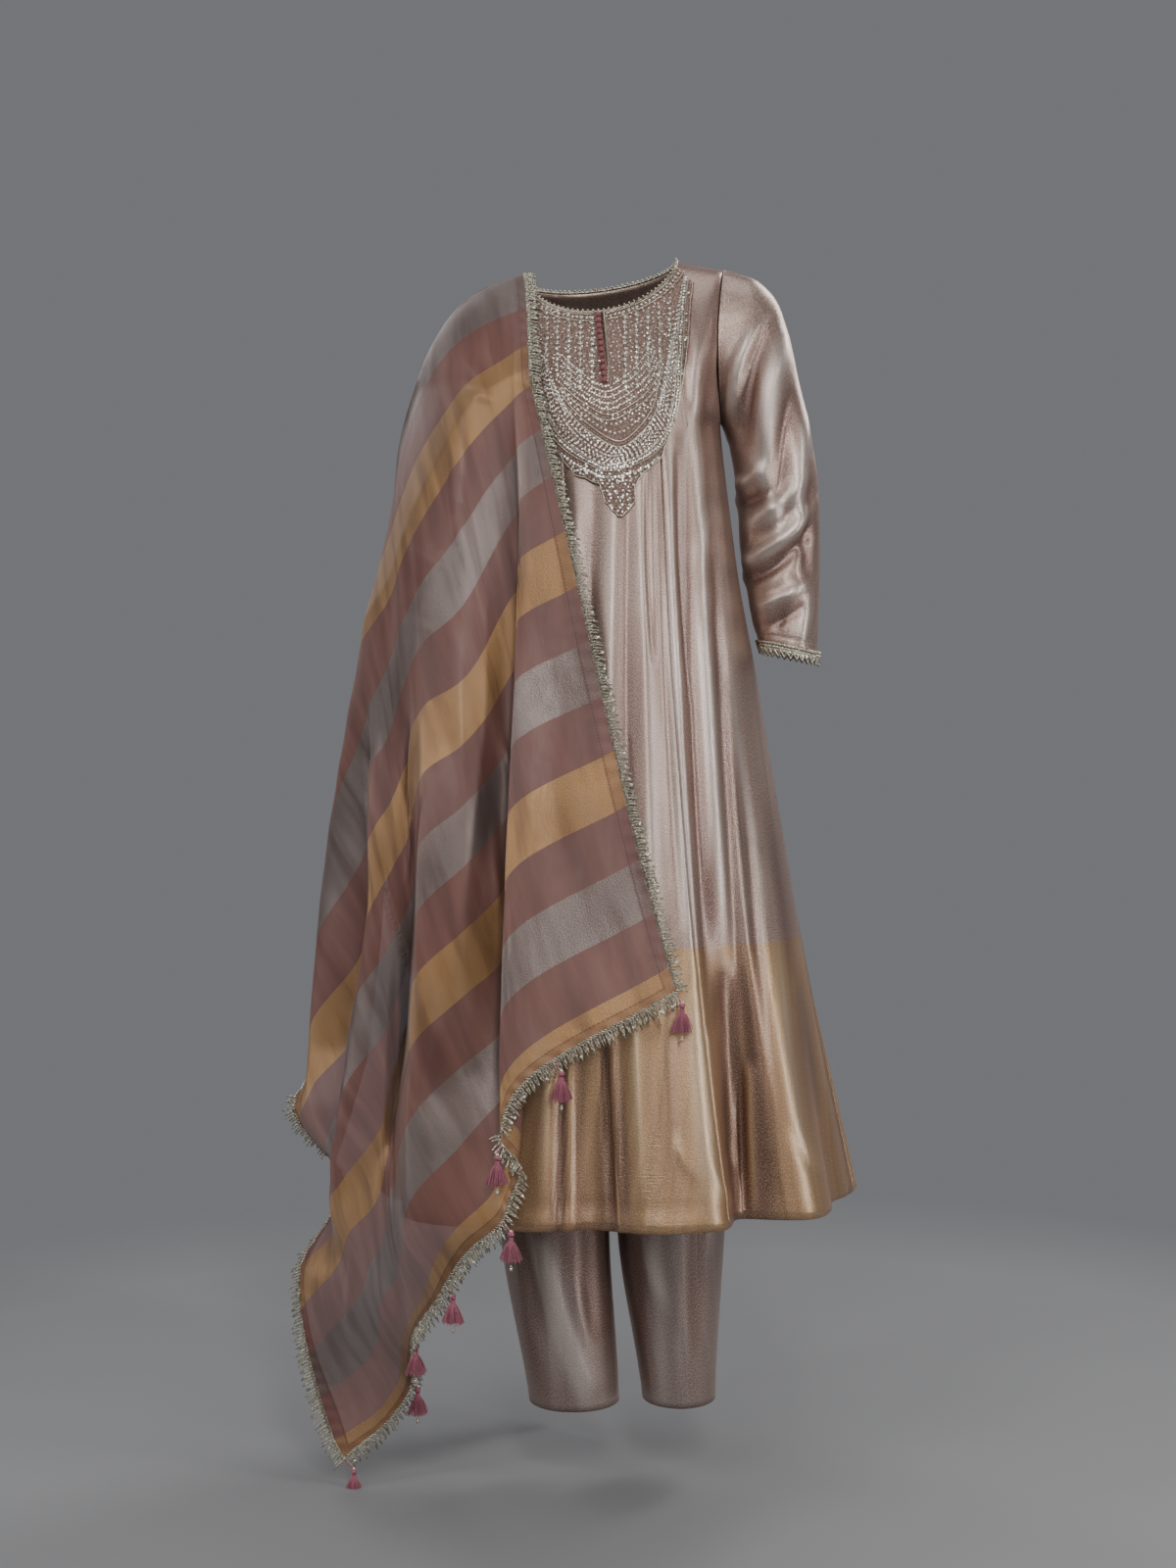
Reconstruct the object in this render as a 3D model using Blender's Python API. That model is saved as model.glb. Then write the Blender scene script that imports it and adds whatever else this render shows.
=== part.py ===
"""A worn salwar kameez suit: a flared kurta, straight trousers and a fringed dupatta.

Metres, +Z up. The garment's front faces -Y and the wearer's left side is +X. The origin is
between the shoulders at the base of the neck, where the wearer carries the set.
"""
import math

import bmesh
import bpy
import numpy as np

# ---------------------------------------------------------------- driving sizes
SEAM_GAP = 0.0004          # clear space between two pieces sewn together
KURTA_WALL = 0.0015
TROUSER_WALL = 0.0015
DUPATTA_WALL = 0.0012
HEM_Z = -1.133             # kurta hem
ARMPIT_Z = -0.205
ARMPIT_ROLL = 0.013        # the left armpit is this much higher, the right one lower
SHOULDER_SLOPE = 0.130     # the whole shoulder line leans this much per metre of width
SHOULDER_DROP = 0.300      # fall of each shoulder seam beyond the neck
NECK_HALF = 0.0925
NECK_DEPTH_FRONT = 0.060
NECK_DEPTH_BACK = 0.018
TIP_HALF = 0.148           # centre to shoulder tip
ARMHOLE_BULGE = 0.045
ARMHOLE_GAP = 0.0020       # from the armhole's edge to the sleeve's
SLIT_LENGTH = 0.088
SLIT_HALF = 0.0013
SLIT_X = -0.004
BUTTONS = 12
BUTTON_RADIUS = 0.0031

DUPATTA_WIDTH = 0.90
FRONT_REACH = 0.89         # length coordinate of the front end; the shoulder is near zero
FRINGE_REACH = 0.018
TASSELS_PER_END = 8
TASSEL_LENGTH = 0.042

WAIST_Z = -0.430
CROTCH_Z = -0.670
TROUSER_HEM_Z = -1.388


def table(names, *rows):
    """Columns of a short table, by name."""
    return dict(zip(names.split(), np.array(rows, float).T))


# ---------------------------------------------------------------- smooth tracks through tables
def knot_slopes(x, y):
    """Slopes at the knots that never overshoot them; the knots run along the last axis."""
    h = np.diff(x)
    d = np.diff(y) / h
    m = np.zeros_like(y)
    before, after = d[..., :-1], d[..., 1:]
    w1, w2 = 2 * h[..., 1:] + h[..., :-1], h[..., 1:] + 2 * h[..., :-1]
    same = before * after > 0
    safe_b, safe_a = np.where(same, before, 1), np.where(same, after, 1)
    m[..., 1:-1] = np.where(same, (w1 + w2) / (w1 / safe_b + w2 / safe_a), 0)
    m[..., 0], m[..., -1] = d[..., 0], d[..., -1]
    return m


def hermite(x0, x1, y0, y1, m0, m1, x):
    h = x1 - x0
    u = np.clip((x - x0) / h, 0, 1)
    a, b = 2 * u ** 3 - 3 * u ** 2 + 1, u ** 3 - 2 * u ** 2 + u
    c, d = 1 - a, u ** 3 - u ** 2
    past = np.where(x < x0, (x - x0) * m0, np.where(x > x1, (x - x1) * m1, 0))
    return a * y0 + b * h * m0 + c * y1 + d * h * m1 + past


def along(xs, ys, x):
    """A smooth track through (xs, ys), read at x; one table for every x."""
    xs, ys, x = np.asarray(xs, float), np.asarray(ys, float), np.asarray(x, float)
    if xs[0] > xs[-1]:
        xs, ys = xs[::-1], ys[::-1]
    m = knot_slopes(xs, ys)
    k = np.clip(np.searchsorted(xs, x, side="right") - 1, 0, len(xs) - 2)
    return hermite(xs[k], xs[k + 1], ys[k], ys[k + 1], m[k], m[k + 1], x)


def along_each(xs, ys, x):
    """The same, where every x has its own knots in the last axis of xs and ys."""
    m = knot_slopes(xs, ys)
    k = np.clip((x[..., None] >= xs).sum(-1) - 1, 0, xs.shape[-1] - 2)[..., None]

    def at(values, offset):
        return np.take_along_axis(values, k + offset, -1)[..., 0]

    return hermite(at(xs, 0), at(xs, 1), at(ys, 0), at(ys, 1), at(m, 0), at(m, 1), x)


def ease(u):
    u = np.clip(u, 0, 1)
    return u * u * (3 - 2 * u)


# ---------------------------------------------------------------- kurta form
# One row per level: centre, half width, depth in front and behind, and the share of the
# half width at which the panel seams run.
KURTA = table("z centre half front back seam",
              (0.00, -0.015, 0.130, 0.118, 0.095, 0.35),
              (-0.20, -0.004, 0.1355, 0.122, 0.100, 0.42),
              (-0.35, 0.003, 0.1465, 0.128, 0.105, 0.39),
              (-0.50, 0.006, 0.170, 0.142, 0.124, 0.36),
              (-0.70, 0.006, 0.205, 0.165, 0.146, 0.37),
              (-0.85, 0.006, 0.230, 0.187, 0.162, 0.40),
              (-1.00, 0.005, 0.258, 0.212, 0.180, 0.43),
              (-1.15, 0.005, 0.288, 0.238, 0.200, 0.475))
ARMHOLE = table("rise half", (0, 0.1355), (0.25, 0.133), (0.5, 0.134), (0.75, 0.139), (1, TIP_HALF))

# One row per large fold of the skirt: where it meets the hem (degrees round from the front,
# wearer's left positive), how wide it is, how far it stands out (+) or in (-), how high it reaches.
SKIRT_FOLDS = table("angle width depth top",
                    (-6, 9, -0.024, -0.78), (36, 9, -0.046, -0.66), (27, 6, 0.010, -0.80),
                    (52, 9, 0.012, -0.74), (-50, 14, 0.022, -0.60), (-72, 8, -0.020, -0.72),
                    (74, 8, -0.014, -0.78), (102, 13, 0.020, -0.70), (123, 9, -0.030, -0.66),
                    (148, 12, 0.018, -0.72), (172, 10, -0.028, -0.62), (-104, 13, 0.018, -0.72),
                    (-126, 9, -0.030, -0.68), (-152, 12, 0.016, -0.74))


def level(name, z):
    return along(KURTA["z"], KURTA[name], z)


def shoulder_z(share):
    d = np.asarray(share) * TIP_HALF
    return -0.008 + SHOULDER_SLOPE * d - SHOULDER_DROP * np.maximum(0, abs(d) - NECK_HALF)


def armpit_z(share):
    return ARMPIT_Z + ARMPIT_ROLL * np.asarray(share)


def top_z(share, front):
    """Neckline inside the neck point, shoulder seam outside it."""
    d = np.asarray(share) * TIP_HALF
    depth = NECK_DEPTH_FRONT if front else NECK_DEPTH_BACK
    dip = np.sqrt(np.clip(1 - (d / NECK_HALF) ** 2, 0, 1))
    return shoulder_z(share) - depth * dip


def fold_push(angle, z):
    """How far the skirt's folds push the cloth in or out at a level."""
    push = 0.0
    for fold_angle, width, depth, top in zip(*SKIRT_FOLDS.values()):
        reach = ease((top - z) / (top - HEM_Z))
        gap = (np.asarray(angle) - fold_angle + 180) % 360 - 180
        push = push + depth * reach * np.exp(-(gap / width) ** 2)
    return push


def kurta_point(share, z, front):
    """A point of the kurta's mid surface; share is -1..1 across the front or the back."""
    share, z = np.broadcast_arrays(np.asarray(share, float), np.asarray(z, float))
    rise = np.clip((z - armpit_z(share)) / (shoulder_z(share) - armpit_z(share)), 0, 1)
    upper = rise > 0
    half = np.where(upper, along(ARMHOLE["rise"], ARMHOLE["half"], rise), level("half", z))
    flat = np.sqrt(np.clip(1 - share ** 2, 0, 1))
    roll = np.clip(1 - rise ** 1.6, 0, 1) ** (0.6 if front else 0.5)
    depth = level("front" if front else "back", z) * roll
    bulge = ARMHOLE_BULGE * 2 * np.sqrt(np.clip(rise * (1 - rise), 0, 1)) * share ** 4
    angle = np.degrees(np.arctan2(share, flat))
    angle = angle if front else 180 - angle
    push = fold_push(angle, z)
    x = level("centre", z) + share * half + push * share
    y = depth * flat + bulge + push * flat
    return np.stack([x, -y if front else y, z], -1)


def front_share(x, z):
    """The share across the front at which the mid surface stands at x, z."""
    x, z = np.broadcast_arrays(np.asarray(x, float), np.asarray(z, float))
    share = x * 0.0
    for _ in range(12):
        rise = np.clip((z - armpit_z(share)) / (shoulder_z(share) - armpit_z(share)), 0, 1)
        half = np.where(rise > 0, along(ARMHOLE["rise"], ARMHOLE["half"], rise), level("half", z))
        share = np.clip((x - level("centre", z)) / half, -1, 1)
    return share


# ---------------------------------------------------------------- dupatta form
# The cloth's own coordinates are s, its length (about zero on the shoulder, FRONT_REACH at the
# front end), and t, its width (0 at the neck edge, DUPATTA_WIDTH at the outer edge). Along the
# length the cloth falls by a simple rule; the folds hang straight down, so their places are
# stated level by level.
SHOULDER = table("t s z x y",           # the line on which the cloth turns over the shoulder
                 (0.00, -0.090, -0.010, -0.108, 0.000), (0.05, -0.080, -0.026, -0.152, 0.000),
                 (0.10, -0.070, -0.052, -0.190, 0.000), (0.15, -0.060, -0.090, -0.217, 0.000),
                 (0.20, -0.050, -0.131, -0.236, 0.006), (0.33, -0.045, -0.238, -0.268, 0.052),
                 (0.50, -0.040, -0.377, -0.278, 0.090), (0.70, -0.035, -0.541, -0.284, 0.122),
                 (0.90, -0.030, -0.705, -0.292, 0.150))
LEVELS = np.array([-0.15, -0.30, -0.50, -0.72, -0.95, -1.03, -1.13, -1.23, -1.42, -1.47])
# A row per fold line; each cell is (t, x, y) of that fold at one of the LEVELS.
FOLDS = np.array([
    # inner edge
    [(0, -.098, -.112), (0, -.063, -.146), (0, -.018, -.160), (0, .033, -.186), (0, .100, -.228),
     (0, .130, -.238), (0, .160, -.240), (0, .160, -.230), (0, .160, -.230), (0, .160, -.230)],
    # ridge 1
    [(.022, -.116, -.114), (.045, -.110, -.158), (.0715, -.115, -.176), (.127, -.1242, -.214),
     (.200, -.1296, -.246), (.250, -.128, -.258), (.270, -.122, -.262), (.300, -.120, -.240),
     (.300, -.120, -.220), (.300, -.120, -.220)],
    # turn 1, behind ridge 1
    [(.030, -.121, -.113), (.056, -.111, -.148), (.105, -.096, -.158), (.172, -.098, -.186),
     (.250, -.101, -.216), (.290, -.106, -.236), (.330, -.108, -.248), (.360, -.112, -.225),
     (.360, -.112, -.205), (.360, -.112, -.205)],
    # exit 1, where the cloth comes out from behind ridge 1
    [(.038, -.127, -.112), (.068, -.120, -.140), (.141, -.119, -.148), (.222, -.128, -.168),
     (.313, -.1345, -.196), (.342, -.137, -.222), (.386, -.121, -.252), (.420, -.124, -.215),
     (.420, -.124, -.190), (.420, -.124, -.190)],
    # middle of the second panel
    [(.085, -.168, -.098), (.140, -.166, -.138), (.235, -.178, -.166), (.278, -.175, -.196),
     (.349, -.175, -.200), (.390, -.1755, -.214), (.443, -.176, -.230), (.500, -.180, -.200),
     (.500, -.180, -.170), (.500, -.180, -.170)],
    # ridge 2
    [(.125, -.196, -.080), (.225, -.223, -.104), (.262, -.218, -.158), (.334, -.224, -.206),
     (.413, -.2345, -.204), (.457, -.2385, -.204), (.522, -.2395, -.202), (.615, -.235, -.150),
     (.640, -.232, -.080), (.640, -.232, -.080)],
    # valley 2
    [(.150, -.211, -.064), (.268, -.248, -.072), (.320, -.246, -.126), (.395, -.234, -.126),
     (.490, -.252, -.076), (.540, -.262, -.086), (.590, -.258, -.150), (.660, -.256, -.116),
     (.710, -.228, -.030), (.710, -.228, -.030)],
    # ridge 3
    [(.168, -.220, -.052), (.300, -.261, -.052), (.385, -.270, -.086), (.448, -.260, -.118),
     (.575, -.272, -.104), (.632, -.2745, -.104), (.690, -.2825, -.104), (.705, -.281, -.100),
     (.770, -.236, .004), (.770, -.236, .004)],
    # ridge 4
    [(.182, -.226, -.040), (.318, -.268, -.036), (.412, -.288, -.058), (.505, -.288, -.106),
     (.635, -.320, -.082), (.700, -.330, -.090), (.775, -.340, -.074), (.765, -.300, -.084),
     (.835, -.272, -.022), (.820, -.276, -.030)],
    # turn 4, behind ridge 4
    [(.191, -.2295, -.030), (.330, -.272, -.024), (.425, -.298, -.042), (.550, -.276, -.062),
     (.700, -.297, -.018), (.760, -.318, -.036), (.815, -.344, -.034), (.810, -.328, -.072),
     (.858, -.290, -.034), (.850, -.290, -.036)],
    # exit 4
    [(.198, -.232, -.020), (.340, -.2745, -.012), (.440, -.308, -.022), (.598, -.300, -.040),
     (.760, -.325, .012), (.810, -.348, -.010), (.850, -.340, -.006), (.845, -.350, -.056),
     (.874, -.308, -.040), (.868, -.300, -.042)],
    # outline, the farthest point to the wearer's right
    [(.205, -.2345, -.008), (.350, -.277, .004), (.460, -.3165, .010), (.668, -.354, .016),
     (.825, -.377, .030), (.860, -.379, .000), (.878, -.336, .010), (.875, -.369, -.042),
     (.888, -.326, -.045), (.884, -.309, -.046)],
    # outer edge, or the cloth behind the arm above it
    [(.240, -.243, .022), (.420, -.270, .070), (.660, -.286, .104), (.900, -.302, .140),
     (.900, -.342, .096), (.900, -.394, .010), (.900, -.334, .024), (.900, -.383, -.030),
     (.900, -.343, -.050), (.900, -.316, -.050)],
])
# The back half hangs plainly: where its two edges stand, and its pleats, at each level.
BACK = table("z inner outer depth edge pleat",
             (-0.03, -0.107, -0.180, 0.044, 0.000, 0.000), (-0.06, -0.104, -0.196, 0.076, 0.000, 0.000),
             (-0.10, -0.100, -0.222, 0.108, 0.004, 0.000), (-0.15, -0.093, -0.240, 0.124, 0.016, 0.000),
             (-0.22, -0.080, -0.264, 0.128, 0.045, 0.002), (-0.35, -0.054, -0.277, 0.130, 0.084, 0.006),
             (-0.50, -0.020, -0.282, 0.148, 0.114, 0.012), (-0.72, 0.030, -0.290, 0.172, 0.152, 0.020),
             (-0.95, 0.075, -0.222, 0.198, 0.176, 0.022), (-1.13, 0.084, -0.155, 0.232, 0.215, 0.022),
             (-1.42, 0.090, -0.045, 0.232, 0.215, 0.020))
BACK_PLEATS = 5
BACK_END = (-0.940, -0.46)  # height of the back end at the inner edge, and its fall per metre


def free_fall(s, t):
    return -0.02 - 0.985 * s + 0.05 * s * s - (0.79 - 0.145 * s) * t


def shoulder_line(t):
    return [along(SHOULDER["t"], SHOULDER[name], t) for name in ("s", "z", "x", "y")]


def front_height(s, t):
    """Height of the front half: the free fall, eased onto the shoulder near the neck."""
    s0, z0, _, _ = shoulder_line(t)
    near = np.clip(1 - (s - s0) / (0.25 - s0), 0, 1) ** 1.3
    return free_fall(s, t) + (z0 - free_fall(s0, t)) * near


def fold_places(z):
    """t, x and y of every fold line at each height z."""
    levels, cells = LEVELS[::-1], FOLDS.transpose(2, 0, 1)[..., ::-1]
    m = knot_slopes(np.broadcast_to(levels, cells.shape), cells)
    k = np.clip(np.searchsorted(levels, z, side="right") - 1, 0, len(levels) - 2)
    z0, z1 = levels[k], levels[k + 1]
    zc = np.clip(z, levels[0], levels[-1])
    return [hermite(z0[..., None], z1[..., None], np.moveaxis(c[:, k], 0, -1),
                    np.moveaxis(c[:, k + 1], 0, -1), np.moveaxis(n[:, k], 0, -1),
                    np.moveaxis(n[:, k + 1], 0, -1), zc[..., None])
            for c, n in zip(cells, m)]


def dupatta_front(reach, t):
    """Mid surface of the front half; reach runs 0 at the shoulder to 1 at the front end."""
    reach, t = np.broadcast_arrays(np.asarray(reach, float), np.asarray(t, float))
    s0, z0, x0, y0 = shoulder_line(t)
    s = s0 + reach * (FRONT_REACH - s0)
    z = front_height(s, t)
    ts, xs, ys = fold_places(z)
    x, y = along_each(ts, xs, t), along_each(ts, ys, t)
    hang = np.clip((z0 - z) / 0.13, 0, 1) ** 0.6
    hang = np.where(z0 - z > 0.13, 1, hang)
    return np.stack([x0 + (x - x0) * hang, y0 + (y - y0) * hang, z], -1)


def dupatta_back(reach, t):
    """Mid surface of the back half; reach runs 0 at the shoulder to 1 at the back end."""
    reach, t = np.broadcast_arrays(np.asarray(reach, float), np.asarray(t, float))
    _, z0, x0, y0 = shoulder_line(t)
    z = z0 + (BACK_END[0] + BACK_END[1] * t - z0) * reach
    widest = np.clip(along(SHOULDER["z"], SHOULDER["t"], z), 0.05, DUPATTA_WIDTH)
    across = np.clip(t / widest, 0, 1)
    inner, outer, depth, edge, pleat = [along(BACK["z"], BACK[n], z)
                                        for n in ("inner", "outer", "depth", "edge", "pleat")]
    x = inner + (outer - inner) * across
    wave = pleat * (1 - np.cos(2 * math.pi * BACK_PLEATS * t / DUPATTA_WIDTH))
    y = edge + (depth - edge) * (1 - across ** 4) + wave
    hang = np.clip((z0 - z) / 0.05, 0, 1) ** 0.5
    return np.stack([x0 + (x - x0) * hang, y0 + (y - y0) * hang, z], -1)


# ---------------------------------------------------------------- sleeves and trousers
# A row per ring: the underarm point, the outer point, the ring's middle and half depth in y.
LEFT_SLEEVE = table("in_x in_z out_x out_z mid half",
                    (.1370, -.196, .1400, -.0085, 0, .0455), (.1385, -.206, .1680, -.0150, 0, .050),
                    (.1420, -.218, .1980, -.0420, 0, .054), (.1440, -.229, .2140, -.0860, 0, .056),
                    (.1460, -.239, .2290, -.1500, 0, .056), (.1490, -.257, .2420, -.2100, .001, .055),
                    (.1520, -.286, .2510, -.2680, .003, .054), (.1560, -.342, .2535, -.3420, .004, .051),
                    (.1640, -.396, .2525, -.3980, .000, .047), (.1710, -.432, .2510, -.4380, -.004, .043),
                    (.1790, -.460, .2496, -.4760, -.008, .039))
RIGHT_SLEEVE = table("in_x in_z out_x out_z mid half",
                     (-.1450, -.222, -.1690, -.0475, 0, .0455), (-.1480, -.230, -.1900, -.0700, 0, .050),
                     (-.1510, -.240, -.2080, -.1080, 0, .053), (-.1540, -.252, -.2230, -.1560, 0, .054),
                     (-.1580, -.270, -.2370, -.2100, .001, .054), (-.1640, -.300, -.2500, -.2740, .003, .052),
                     (-.1770, -.360, -.2650, -.3440, .006, .050), (-.1950, -.420, -.2780, -.4050, .006, .046),
                     (-.2110, -.474, -.2870, -.4600, .004, .042), (-.2260, -.522, -.2920, -.5240, .002, .039))

# A row per level: the leg's middle and half sizes.
RIGHT_LEG = table("z x y half_x half_y",
                  (-1.42, -.0450, -.012, .0540, .056), (TROUSER_HEM_Z, -.0470, -.012, .0555, .057),
                  (-1.17, -.0715, .000, .0680, .070), (-0.90, -.0770, .004, .0730, .085),
                  (-0.66, -.0820, .006, .0790, .098))
LEFT_LEG = table("z x y half_x half_y",
                 (-1.42, .0840, .000, .0440, .054), (TROUSER_HEM_Z, .0825, .000, .0455, .055),
                 (-1.17, .0725, .006, .0670, .070), (-0.90, .0770, .008, .0730, .085),
                 (-0.66, .0820, .008, .0790, .098))
HIPS = table("z half front back",
             (-0.70, .160, .108, .112), (-0.58, .155, .106, .112), (-0.43, .132, .098, .098),
             (-0.38, .130, .096, .096))


def sleeve_point(rings, down, angle):
    """Mid surface of a sleeve; down runs 0..1 along it, angle 0 is its outer line."""
    down, angle = np.broadcast_arrays(np.asarray(down, float), np.asarray(angle, float))
    rows = np.linspace(0, 1, len(rings["mid"]))
    in_x, in_z, out_x, out_z, mid, half = [along(rows, rings[n], down) for n in rings]
    side = np.sign(rings["out_x"][0])
    u = (1 + np.cos(angle)) / 2
    x = in_x + (out_x - in_x) * u
    y = mid - side * half * np.sin(angle)
    z = in_z + (out_z - in_z) * u
    sewn = np.clip(1 - down * (len(rows) - 1), 0, 1)       # the first ring is the armhole itself
    edge_z = armpit_z(side) + (shoulder_z(side) - armpit_z(side)) * u
    edge_x = kurta_point(side, edge_z, True)[..., 0] + side * ARMHOLE_GAP
    edge_y = -side * ARMHOLE_BULGE * np.sin(angle)
    return np.stack([x + (edge_x - x) * sewn, y + (edge_y - y) * sewn, z + (edge_z - z) * sewn], -1)


def leg_point(leg, side, q, z, front):
    """Mid surface of a trouser panel; q runs 0 at the inseam to 1 at the outseam."""
    q, z = np.broadcast_arrays(np.asarray(q, float), np.asarray(z, float))
    x, y, half_x, half_y = [along(leg["z"], leg[n], np.minimum(z, CROTCH_Z))
                            for n in ("x", "y", "half_x", "half_y")]
    way = -1 if front else 1
    a = math.pi * (1 - q)
    px, py = x + side * half_x * np.cos(a), y + way * half_y * np.sin(a)
    hx, hy = along(HIPS["z"], HIPS["half"], z), along(HIPS["z"], HIPS["front" if front else "back"], z)
    b = math.pi / 2 * (1 - q)
    qx, qy = side * (0.003 + (hx - 0.003) * np.cos(b)), way * hy * np.sin(b)
    mix = ease((z - (CROTCH_Z - 0.01)) / 0.09)
    return np.stack([px + (qx - px) * mix, py + (qy - py) * mix, z], -1)


# ---------------------------------------------------------------- walls and materials
def grid_normals(points, wrap=False):
    if wrap:
        across = np.roll(points, -1, 1) - np.roll(points, 1, 1)
    else:
        across = np.gradient(points, axis=1)
    normals = np.cross(across, np.gradient(points, axis=0))
    return normals / np.maximum(np.linalg.norm(normals, axis=-1, keepdims=True), 1e-12)


def material(name, colour, roughness, metallic=0.0, sheen=0.0):
    mat = bpy.data.materials.new(name)
    mat.use_nodes = True
    shader = mat.node_tree.nodes["Principled BSDF"]
    shader.inputs["Base Color"].default_value = (*colour, 1)
    shader.inputs["Roughness"].default_value = roughness
    shader.inputs["Metallic"].default_value = metallic
    shader.inputs["Sheen Weight"].default_value = sheen
    return mat


def add_mesh(name, points, faces, look):
    mesh = bpy.data.meshes.new(name)
    mesh.from_pydata([tuple(map(float, p)) for p in points], [], faces)
    obj = bpy.data.objects.new(name, mesh)
    bpy.context.scene.collection.objects.link(obj)
    mesh.materials.append(material(name, *look))
    bm = bmesh.new()
    bm.from_mesh(mesh)
    bmesh.ops.recalc_face_normals(bm, faces=bm.faces)
    if bm.calc_volume(signed=True) < 0:
        bmesh.ops.reverse_faces(bm, faces=bm.faces)
    bm.to_mesh(mesh)
    bm.free()
    mesh.shade_smooth()
    mesh.set_sharp_from_angle(angle=math.radians(50))
    return obj


def wall(name, grid, normals, thick, look, wrap=False, keep=None, lift=0.0):
    """A cloth wall round a grid of mid-surface points; keep says which cells are cloth."""
    rows, cols = grid.shape[:2]
    last = cols if wrap else cols - 1
    cells = [(i, j) for i in range(rows - 1) for j in range(last) if keep is None or keep(i, j)]
    number = {}

    def vertex(i, j):
        return number.setdefault((i, j % cols), len(number))

    quads = [(vertex(i, j), vertex(i, j + 1), vertex(i + 1, j + 1), vertex(i + 1, j))
             for i, j in cells]
    picked = np.array(list(number))
    middle = grid[picked[:, 0], picked[:, 1]] + normals[picked[:, 0], picked[:, 1]] * lift
    half = normals[picked[:, 0], picked[:, 1]] * thick / 2
    count = len(middle)
    edges = {(q[k], q[(k + 1) % 4]) for q in quads for k in range(4)}
    rim = [(b, a, a + count, b + count) for a, b in edges if (b, a) not in edges]
    halves = []                                 # both faces of the cloth share each diagonal
    for a, b, c, d in quads:
        if np.linalg.norm(middle[a] - middle[c]) <= np.linalg.norm(middle[b] - middle[d]):
            halves += [(a, b, c), (a, c, d)]
        else:
            halves += [(a, b, d), (b, c, d)]
    faces = halves + [tuple(v + count for v in reversed(f)) for f in halves] + sorted(rim)
    return add_mesh(name, np.vstack([middle + half, middle - half]), faces, look)


def trim_columns(grid, at_start, at_end):
    """Move the end columns of a panel in by half a seam gap."""
    grid = grid.copy()
    if at_start:
        step = grid[:, 1] - grid[:, 0]
        grid[:, 0] += step / np.linalg.norm(step, axis=-1, keepdims=True) * SEAM_GAP / 2
    if at_end:
        step = grid[:, -2] - grid[:, -1]
        grid[:, -1] += step / np.linalg.norm(step, axis=-1, keepdims=True) * SEAM_GAP / 2
    return grid


# ---------------------------------------------------------------- kurta pieces
MAUVE_SILK = ((0.42, 0.33, 0.30), 0.34, 0.55, 0.2)
MAUVE_SILK_DARK = ((0.24, 0.19, 0.17), 0.36, 0.5, 0.2)
EMBROIDERY = ((0.44, 0.36, 0.30), 0.5, 0.35)
METAL_TRIM = ((0.52, 0.50, 0.42), 0.4, 0.6)
MAROON = ((0.13, 0.035, 0.04), 0.5)
ORGANZA = ((0.17, 0.075, 0.065), 0.5, 0.2, 0.3)
TASSEL_SILK = ((0.45, 0.10, 0.16), 0.6, 0.0, 0.3)

LOWER_ROWS = 9
UPPER_RISES = np.array([0.18, 0.36, 0.58, 0.78, 0.91, 0.97, 1.0])  # the second is the slit's foot
SIDE_SHARES = (0, 0.15, 0.30, 0.423, 0.62, 0.82, 1.0)        # the fourth is the neck point


def kurta_heights(share, front):
    """Heights of a column's rows: even from hem to armpit, then up to the neck or shoulder."""
    pit, high = armpit_z(share), top_z(share, front)
    lower = HEM_Z + (pit - HEM_Z) * np.linspace(0, 1, LOWER_ROWS)
    return np.concatenate([lower, pit + (high - pit) * UPPER_RISES])


def kurta_column(place, front):
    """One column of points; place is -2..-1 and 1..2 in the side panels, -1..1 between seams."""
    z = np.full(LOWER_ROWS + len(UPPER_RISES), -0.4)
    for _ in range(8):
        seam = level("seam", z)
        if abs(place) > 1:
            share = np.sign(place) * (seam + (abs(place) - 1) * (1 - seam))
        else:
            share = place * seam
        z = np.array([kurta_heights(one, front)[row] for row, one in enumerate(share)])
    return kurta_point(share, z, front)


def kurta_half(front):
    """The whole front or back as one grid, left to right as seen from outside."""
    if front:
        middle = 0.21                       # the slit stands a little off the panel's middle
        width = SLIT_HALF / 0.052
        inner = [-0.68, -0.36, -0.06, middle - width, middle + width, 0.60]
    else:
        inner = [-0.5, 0.0, 0.5]
    sides = [1 + share for share in SIDE_SHARES]
    places = [-place for place in reversed(sides)] + inner + sides
    grid = np.stack([kurta_column(place, front) for place in places], 1)
    seams = (len(sides) - 1, len(sides) + len(inner))
    if not front:
        grid = grid[:, ::-1]
    normals = grid_normals(grid)
    normals[:LOWER_ROWS, [0, -1], 1] = 0
    seam_top = abs(grid[-1, :, 0] - level("centre", 0)) >= NECK_HALF - 0.001
    normals[-1, seam_top, 1] = 0
    normals /= np.linalg.norm(normals, axis=-1, keepdims=True)
    grid[-1, seam_top, 1] += (-1 if front else 1) * SEAM_GAP / 2
    return grid, normals, seams


def kurta_panels():
    halves = []
    for front in (True, False):
        grid, normals, (first, second) = kurta_half(front)
        side = "front" if front else "back"
        names = ("right", "centre", "left") if front else ("left", "centre", "right")
        for name, a, b in zip(names, (0, first, second), (first, second, grid.shape[1] - 1)):
            slit = None
            if front and name == "centre":
                def slit(i, j):
                    return not (j == 4 and i >= LOWER_ROWS + 1)
            panel = trim_columns(grid[:, a:b + 1], True, True)
            wall(f"kurta_{side}_{name}", panel, normals[:, a:b + 1], KURTA_WALL, MAUVE_SILK, keep=slit)
        halves.append((grid, normals))
    neck_binding(*halves)


def neckline(turn):
    """Mid-surface point of the neck edge; turn 0..1 runs round the front, 1..2 round the back."""
    front = turn <= 1
    a = math.pi * (turn if front else 2 - turn)
    share = -math.cos(a) * NECK_HALF / TIP_HALF
    return kurta_point(share, top_z(share, front), front)


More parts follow.
